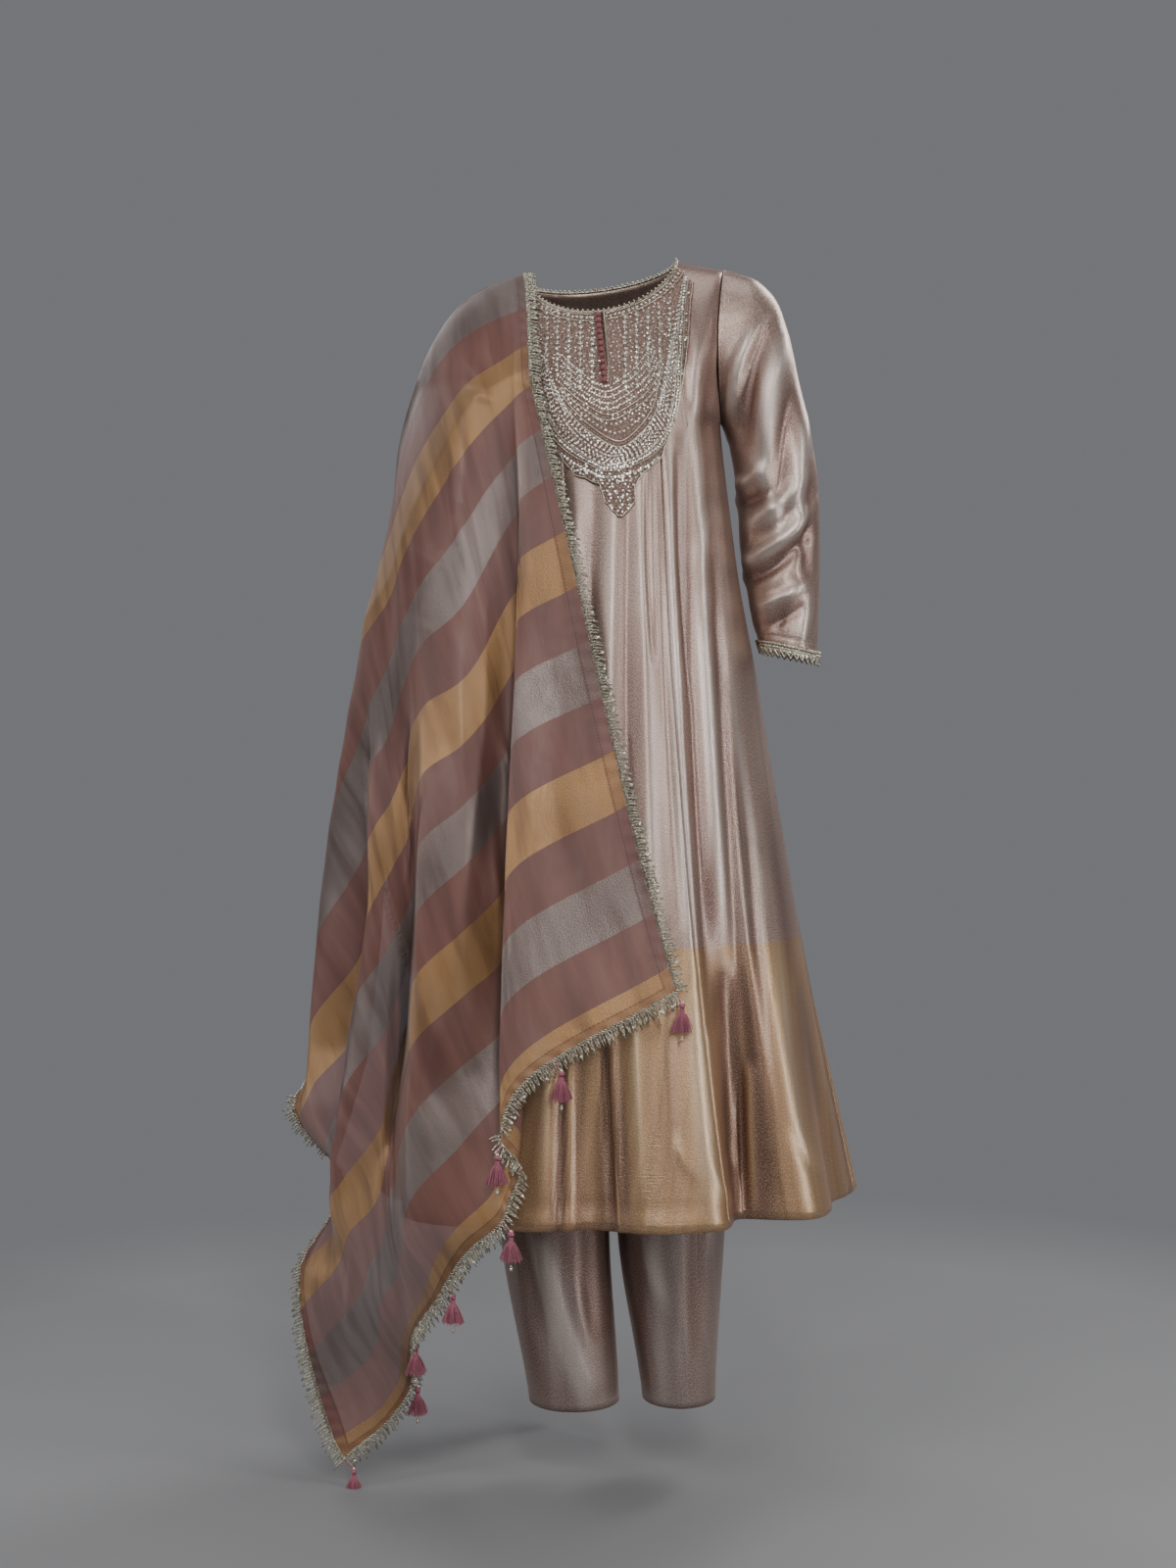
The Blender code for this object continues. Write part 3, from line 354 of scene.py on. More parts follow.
# ---------------------------------------------------------------- sleeves and trousers
# A row per ring: the underarm point, the outer point, the ring's middle and half depth in y.
LEFT_SLEEVE = table("in_x in_z out_x out_z mid half", """
    137 -196 140 -8.5 0 45.5, 138.5 -206 168 -15 0 50, 142 -218 198 -42 0 54,
    144 -229 214 -86 0 56, 146 -239 229 -150 0 56, 149 -257 242 -210 1 55, 152 -286 251 -268 3 54,
    156 -342 253.5 -342 4 51, 164 -396 252.5 -398 0 47, 171 -432 251 -438 -4 43,
    179 -460 249.6 -476 -8 39""")
RIGHT_SLEEVE = table("in_x in_z out_x out_z mid half", """
    -145 -222 -169 -47.5 0 45.5, -148 -230 -190 -70 0 50, -151 -240 -208 -108 0 53,
    -154 -252 -223 -156 0 54, -158 -270 -237 -210 1 54, -164 -300 -250 -274 3 52,
    -177 -360 -265 -344 6 50, -195 -420 -278 -405 6 46, -211 -474 -287 -460 4 42,
    -226 -522 -292 -524 2 39""")

# A row per level: the leg's middle and half sizes.
RIGHT_LEG = table("z x y half_x half_y", """
    -1420 -45 -12 54 56, -1388 -47 -12 55.5 57, -1170 -71.5 0 68 70, -900 -77 4 73 85,
    -660 -82 6 79 98""")
LEFT_LEG = table("z x y half_x half_y", """
    -1420 84 0 44 54, -1388 82.5 0 45.5 55, -1170 72.5 6 67 70, -900 77 8 73 85, -660 82 8 79 98""")
HIPS = table("z half front back", """
    -700 160 108 112, -580 155 106 112, -430 132 98 98, -380 130 96 96""")


def sleeve_point(rings, down, angle):
    """Mid surface of a sleeve; down runs 0..1 along it, angle 0 is its outer line."""
    down, angle = np.broadcast_arrays(np.asarray(down, float), np.asarray(angle, float))
    rows = np.linspace(0, 1, len(rings["mid"]))
    in_x, in_z, out_x, out_z, mid, half = [along(rows, rings[n], down) for n in rings]
    side = np.sign(rings["out_x"][0])
    u = (1 + np.cos(angle)) / 2
    x = in_x + (out_x - in_x) * u
    y = mid - side * half * np.sin(angle)
    z = in_z + (out_z - in_z) * u
    sewn = bound(1 - down * (len(rows) - 1))       # the first ring is the armhole itself
    edge_z = armpit_z(side) + (shoulder_z(side) - armpit_z(side)) * u
    edge_x = kurta_point(side, edge_z, True)[..., 0] + side * ARMHOLE_GAP
    edge_y = -side * ARMHOLE_BULGE * np.sin(angle)
    return stack(x + (edge_x - x) * sewn, y + (edge_y - y) * sewn, z + (edge_z - z) * sewn)


def leg_point(leg, side, q, z, front):
    """Mid surface of a trouser panel; q runs 0 at the inseam to 1 at the outseam."""
    q, z = np.broadcast_arrays(np.asarray(q, float), np.asarray(z, float))
    x, y, half_x, half_y = [along(leg["z"], leg[n], np.minimum(z, CROTCH_Z))
                            for n in ("x", "y", "half_x", "half_y")]
    way = -1 if front else 1
    a = math.pi * (1 - q)
    px, py = x + side * half_x * np.cos(a), y + way * half_y * np.sin(a)
    hx, hy = [along(HIPS["z"], HIPS[n], z) for n in ("half", "front" if front else "back")]
    b = math.pi / 2 * (1 - q)
    qx, qy = side * (0.003 + (hx - 0.003) * np.cos(b)), way * hy * np.sin(b)
    mix = ease((z - (CROTCH_Z - 0.01)) / 0.09)
    return stack(px + (qx - px) * mix, py + (qy - py) * mix, z)


def neckline(turn):
    """Mid-surface point of the neck edge; turn 0..1 runs round the front, 1..2 round the back."""
    front = turn <= 1
    a = math.pi * (turn if front else 2 - turn)
    share = -math.cos(a) * NECK_HALF / TIP_HALF
    return kurta_point(share, top_z(share, front), front)


# The embroidered yoke: its outer edge from the right shoulder round to the left one, as x and z.
YOKE_EDGE = table("x z", """
    -119 -46, -111.5 -70, -103.5 -100, -96 -134, -88 -173, -79 -205, -64 -238, -45 -264, -16 -276,
    -10 -296, 4.5 -313, 11 -313, 25 -296, 24 -279, 31 -266, 54 -245, 66 -212, 76.5 -173,
    83.5 -134, 87.5 -100, 90 -66, 94.5 -28""")

# ---------------------------------------------------------------- mesh tools
def unit(v):
    return v / np.maximum(np.linalg.norm(v, axis=-1, keepdims=True), 1e-12)


def cells(*counts):
    """Every index of a grid of cells, flattened."""
    return [k.ravel() for k in np.meshgrid(*[np.arange(n) for n in counts], indexing="ij")]


def corners(i, j):
    """The four corners of grid cells, in order round each."""
    return (i, j), (i, j + 1), (i + 1, j + 1), (i + 1, j)


def grid_normals(points, outward=None):
    """Normals of a grid, towards outward; a grid with none is closed and faces off its axis."""
    if outward is None:
        across = np.roll(points, -1, 1) - np.roll(points, 1, 1)
        outward = points - points.mean(1, keepdims=True)
    else:
        across = np.gradient(points, axis=1)
    normals = unit(np.cross(across, np.gradient(points, axis=0)))
    return normals if (normals * outward).sum() > 0 else -normals


def add_mesh(name, points, faces, look, nodes=(), uv=None, painted_light=None):
    """A piece that rides on the root, with uv in metres per corner and painted light per point."""
    mesh = bpy.data.meshes.new(name)
    mesh.from_pydata(points.tolist(), [], faces if isinstance(faces, list) else faces.tolist())
    if uv is not None:
        mesh.uv_layers.new(name="cut").data.foreach_set("uv", np.asarray(uv, np.float32).ravel())
    if painted_light is not None:
        layer = mesh.attributes.new("painted_light", "FLOAT", "POINT")
        layer.data.foreach_set("value", np.asarray(painted_light, np.float32).ravel())
    obj = bpy.data.objects.new(name, mesh)
    bpy.context.scene.collection.objects.link(obj)
    mesh.materials.append(look)
    mesh.shade_smooth()
    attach(obj, "root")
    if nodes:                                   # the parts that these pieces stand for are hidden
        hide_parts(*nodes)
    return obj


def shell(name, points, normals, uv, look, node, painted_light=None, thick=0.0, wrap=False, keep=None):
    """A sheet of cloth from a grid of points; thick gives it a back face, inside."""
    rows, cols = points.shape[:2]
    i, j = cells(rows - 1, cols if wrap else cols - 1)
    if keep is not None:
        kept = keep(i, j)
        i, j = i[kept], j[kept]
    faces = stack(*[a * cols + b % cols for a, b in corners(i, j)])
    uvs = np.stack([uv[a, b] for a, b in corners(i, j)], 1)
    flat = points.reshape(-1, 3)
    first, second, _, last = [flat[faces[:, k]] for k in range(4)]
    if (np.cross(second - first, last - first) * normals.reshape(-1, 3)[faces[:, 0]]).sum() < 0:
        faces, uvs = faces[:, ::-1], uvs[:, ::-1]
    used, faces = np.unique(faces, return_inverse=True)
    painted_light = None if painted_light is None else painted_light.ravel()[used]
    obj = add_mesh(name, flat[used], faces.reshape(-1, 4), look, (node,), uvs, painted_light)
    if thick:
        wall = obj.modifiers.new("wall", "SOLIDIFY")
        wall.thickness, wall.offset, wall.use_even_offset = thick, -1.0, False
    return obj


def dents(a, b, rows):
    """Height of soft creases over the plane a, b.

    A row is a crease: its two ends, its width and depth, and how far it bows sideways.
    """
    total = np.zeros(np.broadcast(a, b).shape)
    for a0, b0, a1, b1, width, depth, bow in rows:
        da, db = a1 - a0, b1 - b0
        long = math.hypot(da, db)
        u = ((a - a0) * da + (b - b0) * db) / long ** 2
        inside = bound(u)
        off = ((a - a0) * db - (b - b0) * da) / long - bow * np.sin(math.pi * inside)
        past = (u - inside) * long
        fade = np.sin(math.pi * np.clip(inside, 0.02, 0.98)) ** 0.6
        total += depth * np.exp(-(off ** 2 + past ** 2) / width ** 2) * (0.15 + 0.85 * fade)
    return total


def noise1(x):
    """A repeatable value from -1 to 1 for each x."""
    return np.modf(np.sin(np.asarray(x, float) * 127.1 + 11.7) * 43758.5453)[0]


def read(values, run, at):
    """Columns of values, which stand at run, read at other places."""
    return np.stack([np.interp(at, run, column) for column in np.asarray(values).T], -1)


def resample(line, pitch):
    """Points along a polyline at an even pitch."""
    run = run_along(line)
    return read(line, run, np.arange(pitch / 2, run[-1], pitch))


def frame_of(ahead, tilt):
    """Two ways square to ahead and to each other."""
    side = unit(np.cross(ahead, np.array(tilt)))
    return side, np.cross(side, ahead)


def tubes(paths, radius, sides=3, closed=False):
    """Points and faces of round threads along paths (count, points, 3)."""
    paths = np.asarray(paths, float)
    count, n = paths.shape[:2]
    if closed:
        ahead = np.roll(paths, -1, 1) - np.roll(paths, 1, 1)
    else:
        ahead = np.gradient(paths, axis=1)
    side, over = frame_of(unit(ahead), (0.31, 0.23, 0.92))
    radius = np.broadcast_to(radius, (count, n))[..., None, None]
    angle = turns(sides)[:, None]
    rings = paths[:, :, None] + radius * (side[:, :, None] * np.cos(angle)
                                          + over[:, :, None] * np.sin(angle))
    c, i, k = cells(count, n if closed else n - 1, sides)
    faces = stack(*[(c * n + a % n) * sides + b % sides for a, b in corners(i, k)])
    return rings.reshape(-1, 3), faces


def discs(centres, normals, radius, sides=6, dome=0.35):
    """Small domed discs facing along normals."""
    normals = unit(normals)
    count = len(centres)
    radius = np.broadcast_to(radius, (count,))[:, None, None]
    side = unit(np.cross(normals, np.array([0.13, 0.41, 0.9])))
    over = np.cross(normals, side)
    angle = turns(sides)[:, None]
    rim = centres[:, None] + radius * (side[:, None] * np.cos(angle)
                                       + over[:, None] * np.sin(angle))
    top = centres[:, None] + normals[:, None] * radius * dome
    base = np.arange(count)[:, None] * (sides + 1)
    k = np.arange(sides)
    faces = stack(base + k, base + (k + 1) % sides, base + sides)
    return np.concatenate([rim, top], 1).reshape(-1, 3), faces.reshape(-1, 3)


def balls(centres, radius, stretch=(1, 1, 1), rows=4, cols=6):
    """Small beads."""
    centres = np.asarray(centres, float)
    a = np.linspace(0, math.pi, rows + 1)[1:-1, None]
    b = turns(cols)
    ring = stack(np.sin(a) * np.cos(b), np.sin(a) * np.sin(b), np.cos(a)).reshape(-1, 3)
    ball = np.concatenate([[[0, 0, 1]], ring, [[0, 0, -1]]]) * np.array(stretch)
    radius = np.broadcast_to(radius, (len(centres),))[:, None, None]
    points = (centres[:, None] + radius * ball).reshape(-1, 3)
    faces, last = [], len(ball) - 1
    for k in range(cols):
        ahead = (k + 1) % cols
        faces += [(0, 1 + k, 1 + ahead), (last, last - cols + ahead, last - cols + k)]
        for r in range(rows - 2):
            p, q = 1 + r * cols + k, 1 + r * cols + ahead
            faces += [(p, p + cols, q), (q, p + cols, q + cols)]
    base = np.arange(len(centres))[:, None, None] * len(ball)
    return points, (base + np.array(faces)).reshape(-1, 3)


def join(*parts):
    """Several (points, faces) as one."""
    points, faces, start = [], [], 0
    for p, f in parts:
        points.append(p)
        faces += (f + start).tolist()
        start += len(p)
    return np.concatenate(points), faces


# ---------------------------------------------------------------- looks
class Look:
    """A material with its nodes at hand."""

    def __init__(self, name, **sockets):
        self.mat = bpy.data.materials.new(name)
        self.mat.use_nodes = True
        self.tree = self.mat.node_tree
        self.shader = self.tree.nodes["Principled BSDF"]
        for key, value in sockets.items():
            self.shader.inputs[key.replace("_", " ")].default_value = value

    def put(self, socket, value):
        if isinstance(value, (int, float, tuple)):
            socket.default_value = value
        elif value is not None:
            self.tree.links.new(socket, value)

    def node(self, kind, *inputs, **settings):
        made = self.tree.nodes.new("ShaderNode" + kind)
        for key, value in settings.items():
            setattr(made, key, value)
        for k, value in enumerate(inputs):
            self.put(made.inputs[k], value)
        return made

    def set(self, key, value):
        self.put(self.shader.inputs[key], value)

    def math(self, operation, *inputs):
        return self.node("Math", *inputs, operation=operation).outputs[0]

    plus = partialmethod(math, "ADD")
    minus = partialmethod(math, "SUBTRACT")
    times = partialmethod(math, "MULTIPLY")
    below = partialmethod(math, "LESS_THAN")
    least = partialmethod(math, "MINIMUM")

    def cut(self):
        """Across and along the cloth, in metres."""
        return self.node("SeparateXYZ", self.node("UVMap", uv_map="cut").outputs[0]).outputs[:2]

    def painted_fold_light(self):
        """The painted light per point: painted shade (0), as in hollows, up to painted highlight
        (1), as on full parts.
        """
        return self.node("Attribute", attribute_name="painted_light").outputs["Fac"]

    def grain(self, place, scale, detail=2.0):
        made = self.node("TexNoise", place)
        made.inputs["Scale"].default_value = scale
        made.inputs["Detail"].default_value = detail
        return made.outputs[0]

    def noise(self, x, y, fine_x, fine_y, detail=2.0, z=0.0):
        """Noise stretched by its own fineness across and along."""
        place = self.node("CombineXYZ", self.times(x, fine_x), self.times(y, fine_y), z)
        return self.grain(place.outputs[0], 1.0, detail)

    def ramp(self, value, *stops, step=False):
        """A colour ramp; a plain number in it is a grey."""
        made = self.node("ValToRGB", value)
        made.color_ramp.interpolation = "CONSTANT" if step else "LINEAR"
        elements = made.color_ramp.elements
        while len(elements) < len(stops):
            elements.new(0.5)
        for element, (place, colour) in zip(elements, stops):
            element.position = place
            element.color = (*(colour if isinstance(colour, tuple) else (colour,) * 3), 1)
        return made.outputs[0]

    def mix(self, share, a, b):
        made = self.node("Mix", data_type="RGBA")
        for k, value in ((0, share), (6, a), (7, b)):
            self.put(made.inputs[k], value)
        return made.outputs[2]

    def veils(self, tone, *rows):
        """Colours laid over tone, each as a value climbs or falls from one stop to another."""
        for value, start, end, colour in rows:
            tone = self.mix(self.ramp(value, start, end), tone, colour)
        return tone

    def bump(self, height, strength, distance):
        made = self.node("Bump")
        made.inputs["Strength"].default_value = strength
        made.inputs["Distance"].default_value = distance
        self.put(made.inputs["Height"], height)
        self.set("Normal", made.outputs[0])


def tissue(name, body, border=None, rough=0.33):
    """Metal-shot silk: fine streaks along the warp, and maybe a gold border woven in below."""
    look = Look(name, Metallic=0.66, Specular_Tint=(0.95, 0.86, 0.82, 1), Sheen_Weight=0.10,
                Sheen_Roughness=0.4, Sheen_Tint=(0.9, 0.55, 0.48, 1), Coat_Weight=0.32,
                Coat_Roughness=0.28, Coat_IOR=1.9, Coat_Tint=(0.98, 0.93, 0.89, 1),
                Anisotropic=0.35)
    across, height = look.cut()
    warp = look.noise(across, height, 1400.0, 18.0)
    weft = look.noise(across, height, 22.0, 900.0)
    streak = look.noise(across, height, 110.0, 1.6, 3.0, 4.0)
    cloudy = look.noise(across, height, 7.0, 5.0, 2.0, 9.0)
    speckle = look.noise(across, height, 1000.0, 560.0, 1.0, 2.0)
    painted_fold_light = look.painted_fold_light()

    def streaked(colour):
        dark, light = [tuple(c * share for c in colour) for share in (0.78, 1.18)]
        return look.ramp(streak, (0.30, dark), (0.52, colour), (0.72, light))
    # The second colour is the painted highlight on the full parts of folds; the light specks of
    # metal thread in the weave take it too.
    tone, painted_highlight_and_thread = streaked(body), (0.73, 0.650, 0.602, 1)
    if border:
        lower = look.below(look.plus(height, look.times(weft, 0.002)), BORDER_Z)
        tone = look.mix(lower, tone, streaked(border))
        painted_highlight_and_thread = look.mix(lower, painted_highlight_and_thread, (0.74, 0.585, 0.40, 1))
    # Painted shade darkens the hollows and painted highlight lightens the full parts; the speck and
    # cloudy veils are the cloth's own tone.
    look.set("Base Color", look.veils(
        tone, (painted_fold_light, (0.0, 0.95), (0.48, 0), (0.150, 0.063, 0.046, 1)),
        (painted_fold_light, (0.54, 0), (1.0, 0.68), painted_highlight_and_thread), (speckle, (0.46, 0), (0.64, 0.50), painted_highlight_and_thread),
        (speckle, (0.34, 0.45), (0.46, 0), (0.17, 0.10, 0.085, 1)),
        (cloudy, (0.35, 0.25), (0.65, 0), (0.20, 0.095, 0.075, 1))))
    gloss = look.plus(look.times(warp, 0.5), look.times(streak, 0.5))
    look.set("Roughness", look.ramp(gloss, (0.3, rough - 0.06), (0.7, rough + 0.09)))
    weave = look.plus(look.times(warp, 0.6), look.times(weft, 0.6))
    look.bump(look.plus(weave, look.times(speckle, 0.8)), 0.44, 0.0006)
    return look.mat


def organza():
    """Sheer cloth in equal bands across its length: gold, mauve, silver, mauve."""
    look = Look("striped_organza", Metallic=0.0, Sheen_Weight=0.25, Sheen_Roughness=0.35,
                Sheen_Tint=(0.95, 0.70, 0.66, 1))
    across, length = look.cut()
    drift = look.times(look.minus(look.noise(across, length, 4.0, 4.0, 2.0, 3.0), 0.5), 0.004)
    band = look.math("FRACT", look.times(look.minus(look.plus(length, drift), 0.05), 1 / BANDS))

    def banded(gold, mauve, silver):
        return look.ramp(band, (0, gold), (0.25, mauve), (0.5, silver), (0.75, mauve), step=True)
    base = banded((0.31, 0.155, 0.062), (0.215, 0.090, 0.074), (0.145, 0.098, 0.088))
    lurex = banded((0.78, 0.50, 0.22), (0.3, 0.13, 0.12), (0.48, 0.44, 0.415))
    thread, clear = banded(0.62, 0.0, 0.80), banded(0.93, 0.82, 0.88)
    glint = look.noise(across, length, 1300.0, 1300.0, 1.5)
    painted_sheen = look.noise(across, length, 42.0, 5.0, 3.0, 5.0)
    patchy = look.noise(across, length, 9.0, 6.0, 3.0, 7.0)
    painted_fold_light = look.painted_fold_light()
    shining = look.times(look.ramp(glint, (0.47, 0), (0.60, 1)), thread)
    # Painted sheen: streaks along the fall painted darker and lighter. Painted shade darkens the
    # folds' hollows and painted highlight lightens their full parts.
    colour = look.veils(
        look.mix(shining, base, lurex), (painted_sheen, (0.36, 0.42), (0.52, 0), (0.085, 0.036, 0.028, 1)),
        (painted_sheen, (0.52, 0), (0.70, 0.12), (0.55, 0.38, 0.32, 1)),
        (painted_fold_light, (0.0, 0.80), (0.47, 0), (0.060, 0.022, 0.018, 1)),
        (painted_fold_light, (0.55, 0), (1.0, 0.22), (0.60, 0.42, 0.35, 1)),
        (patchy, (0.35, 0.30), (0.65, 0), (0.07, 0.028, 0.025, 1)))
    side = look.least(across, look.minus(DUPATTA_WIDTH, across))
    end = look.least(look.minus(FRONT_REACH, length), look.minus(length, BACK_S_END))
    rim = look.least(side, end)
    hem = look.below(rim, 0.012)
    dash = look.below(look.math("FRACT", look.times(look.plus(across, length), 260.0)), 0.6)
    stitch = look.times(look.math("COMPARE", rim, 0.0105, 0.0006), dash)
    colour = look.mix(look.times(hem, 0.38), colour, (0.09, 0.030, 0.024, 1))
    look.set("Base Color", look.mix(look.times(stitch, 0.6), colour, (0.05, 0.02, 0.018, 1)))
    look.set("Metallic", look.times(thread, 0.62))
    warp = look.noise(across, length, 900.0, 60.0)
    look.set("Roughness", look.ramp(warp, (0.3, 0.36), (0.7, 0.52)))
    thin = look.math("MULTIPLY_ADD", look.minus(glint, 0.5), 0.22, clear)
    look.set("Alpha", look.least(look.math("MAXIMUM", thin, look.times(hem, 0.985)), 1.0))
    weave = look.plus(look.noise(across, length, 1500.0, 90.0),
                      look.noise(across, length, 90.0, 1500.0))
    look.bump(look.plus(weave, look.times(stitch, -1.5)), 0.30, 0.0005)
    return look.mat


def yoke_cloth():
    """The yoke's ground: mauve silk worked all over with fine metal thread."""
    look = Look("yoke_embroidery", Metallic=0.35, Specular_Tint=(1, 0.9, 0.8, 1))
    across, height = look.cut()
    place = look.node("CombineXYZ", across, height, 0.0).outputs[0]
    stitches = look.node("TexVoronoi", place, feature="F1")
    stitches.inputs["Scale"].default_value = 380.0
    stitches = stitches.outputs[0]
    thread = look.noise(across, height, 1100.0, 1100.0, 2.0)
    worked = look.times(look.times(look.below(stitches, 0.42), thread), 0.62)
    ground = look.ramp(thread, (0.3, (0.150, 0.086, 0.070)), (0.7, (0.290, 0.190, 0.158)))
    look.set("Base Color", look.mix(worked, ground, (0.60, 0.51, 0.42, 1)))
    look.set("Roughness", look.ramp(thread, (0.3, 0.42), (0.7, 0.6)))
    look.bump(look.minus(thread, stitches), 0.7, 0.0012)
    return look.mat


def grained(name, dark, light, places, roughness, relief, fine, **sockets):
    """A plain look whose tone, gloss and relief follow one fine grain."""
    look = Look(name, **sockets)
    grain = look.grain(look.node("TexCoord").outputs["Object"], fine)
    look.set("Base Color", look.ramp(grain, (places[0], dark), (places[1], light)))
    look.set("Roughness", look.ramp(grain, (0.3, roughness[0]), (0.7, roughness[1])))
    look.bump(grain, relief, 0.0004)
    return look.mat


def metal_thread(name, dark, light, rough=0.32, metal=0.85):
    return grained(name, dark, light, (0.35, 0.62), (rough + 0.12, rough - 0.08), 0.25, 420.0,
                   Metallic=metal, Specular_Tint=(1, 0.95, 0.85, 1))


def silk(name, dark, light, rough, sheen, fine=700.0):
    return grained(name, dark, light, (0.3, 0.7), (rough - 0.08, rough + 0.1), 0.35, fine,
                   Sheen_Weight=sheen, Sheen_Roughness=0.4, Sheen_Tint=(*light, 1))


KURTA_LOOK = tissue("kurta_tissue", (0.365, 0.250, 0.203), (0.47, 0.275, 0.130))
TROUSER_LOOK = tissue("trouser_silk", (0.28, 0.205, 0.180), rough=0.32)
ORGANZA = organza()
YOKE_LOOK = yoke_cloth()
SILVER = metal_thread("metal_trim", (0.30, 0.27, 0.20), (0.74, 0.71, 0.60))
ZARI = metal_thread("zari_thread", (0.40, 0.33, 0.25), (0.82, 0.74, 0.62), 0.30)
SEQUIN = metal_thread("sequins", (0.66, 0.60, 0.52), (0.95, 0.91, 0.85), 0.25, 0.9)
MAROON = silk("maroon_silk", (0.12, 0.034, 0.036), (0.33, 0.125, 0.125), 0.42, 0.4)
TASSEL = silk("tassel_silk", (0.22, 0.045, 0.08), (0.52, 0.19, 0.25), 0.55, 0.5, 1500.0)
BEAD = metal_thread("tassel_beads", (0.55, 0.42, 0.36), (0.85, 0.78, 0.72), 0.25)


# ---------------------------------------------------------------- kurta
# Creases on the front, in x and z: two ends, width, depth (in if negative) and sideways bow.
FRONT_CREASES = mm(7, """
    -40 -235 -62 -800 8 5 3, -20 -240 -36 -850 8 -5 2, 0 -260 -6 -920 9 4.5 3,
    17 -262 18 -800 7 -4 3, 34 -245 50 -900 10 5.5 3, 52 -230 75 -780 8 -4.5 3,
    66 -220 93 -840 10 6 4, 83 -215 113 -900 9 -7.5 4, 100 -170 134 -840 11 6.5 5,
    113 -200 158 -950 10 -6 6, 124 -300 176 -1050 11 5.5 5, 146 -560 205 -1120 10 -5.5 4,
    105 -75 96 -200 11 4.5 4, 88 -80 83 -190 8 -3.5 0, 122 -120 108 -220 9 -4.5 3,
    126 -290 100 -370 9 3 3, 120 -420 150 -560 10 -3 3, 24 -780 30 -1120 11 5 2,
    58 -800 72 -1120 10 -3.5 2, 90 -830 112 -1120 12 5 3, 130 -850 160 -1120 9 -4.5 3,
    168 -830 205 -1120 10 5.5 3, 205 -800 245 -1120 9 -4 3, -70 -780 -80 -1120 11 4.5 3,
    -40 -800 -46 -1120 10 -4 2, 112 -1060 140 -1112 5 3 3, 128 -1040 152 -1090 5 -2.4 0,
    226 -1040 252 -1092 5 2.8 3, 205 -1020 232 -1080 6 -2.4 0, 70 -1030 96 -1075 6 2.2 2,
    -100 -350 -135 -900 12 -4.5 5, -130 -550 -180 -1080 12 4.5 4, -12 -900 0 -1145 4.5 -8.5 0,
    -4.5 -900 8 -1145 5.5 7.5 0, 150 -960 152 -1130 4.5 -8 0, 158 -960 162 -1130 5.5 6 0,
    -50 -930 -52 -1145 5 6 0, -60 -930 -64 -1145 5 -6 0, 75 -240 88 -520 5 -6 4,
    40 -250 46 -480 4.5 -5 3""")
BACK_CREASES = mm(7, """
    0 -100 4 -600 9 5 3, 45 -160 85 -750 9 -5 4, -50 -160 -90 -750 9 -5 -4,
    90 -220 135 -850 10 5.5 4, -95 -220 -140 -850 10 5.5 -4, 120 -300 175 -1000 10 -5.5 5,
    -60 -700 -75 -1120 10 5 0, 30 -750 40 -1120 10 -5 2, 20 -250 34 -850 13 3.5 5,
    -30 -220 -52 -800 13 -3.5 -5, 70 -300 110 -950 14 3.5 6, 105 -400 160 -1080 13 -3.5 4,
    -80 -350 -120 -1000 13 3.5 -5, -130 -450 -185 -1080 13 -3 0, 0 -600 6 -1100 12 3.5 3,
    150 -620 210 -1100 12 3 3, 85 -100 60 -240 14 2.8 3, -85 -100 -60 -240 14 2.8 0,
    45 -1050 70 -1110 6 2 0, -110 -1030 -90 -1100 6 2 0""")
# Painted highlight (+) and painted shade (-) on the front: the same columns, depth as a share.
FRONT_PAINTED_LIGHT = mm(7, """
    117.5 -360 152 -780 9 -600 0, 156 -790 180 -1110 16 -600 0, 94 -360 83 -578 7 -450 0,
    83 -560 129 -860 7 -500 0, 130 -850 150 -1110 9 -480 0, 100 -440 129 -790 6 500 0,
    148 -880 166 -1110 6 450 0, 129 -460 180 -780 7 500 0, 195 -810 228 -1100 10 550 0,
    65 -310 62 -590 11 340 0, 62 -560 88 -800 12 300 0, 104 -840 106 -1090 20 220 0,
    183 -640 214 -850 8 -450 0, 222 -850 246 -1020 8 -400 0, -4 -900 14 -1140 10 -600 0,
    30 -440 30 -690 12 -360 0, -30 -310 -28 -430 5 -500 0, -60 -930 -66 -1140 8 -500 0,
    -30 -920 -26 -1140 10 300 0, 120 -80 113 -200 11 -340 3, 36 -820 42 -1120 7 -220 0,
    80 -820 84 -1120 7 -140 0""")
KURTA_ROWS = 165
KURTA_FALL = np.linspace(0, 1, KURTA_ROWS)[:, None] ** 0.92
NECK_Z = neckline(0.5)[2]
SLIT_FOOT = NECK_Z - SLIT_LENGTH


def kurta_grid(places, front):
    """Shares and heights of a panel: places run -2..-1 and 1..2 in the sides, -1..1 between."""
    places = np.atleast_2d(places)
    z = np.full((KURTA_ROWS, places.shape[-1]), -0.4)
    for _ in range(9):
        seam = level("seam", z)
        share = np.where(abs(places) > 1, np.sign(places) * (seam + (abs(places) - 1) * (1 - seam)),
                         places * seam)
        z = HEM_Z + (top_z(share[-1:], front) - HEM_Z) * KURTA_FALL
    return share, z


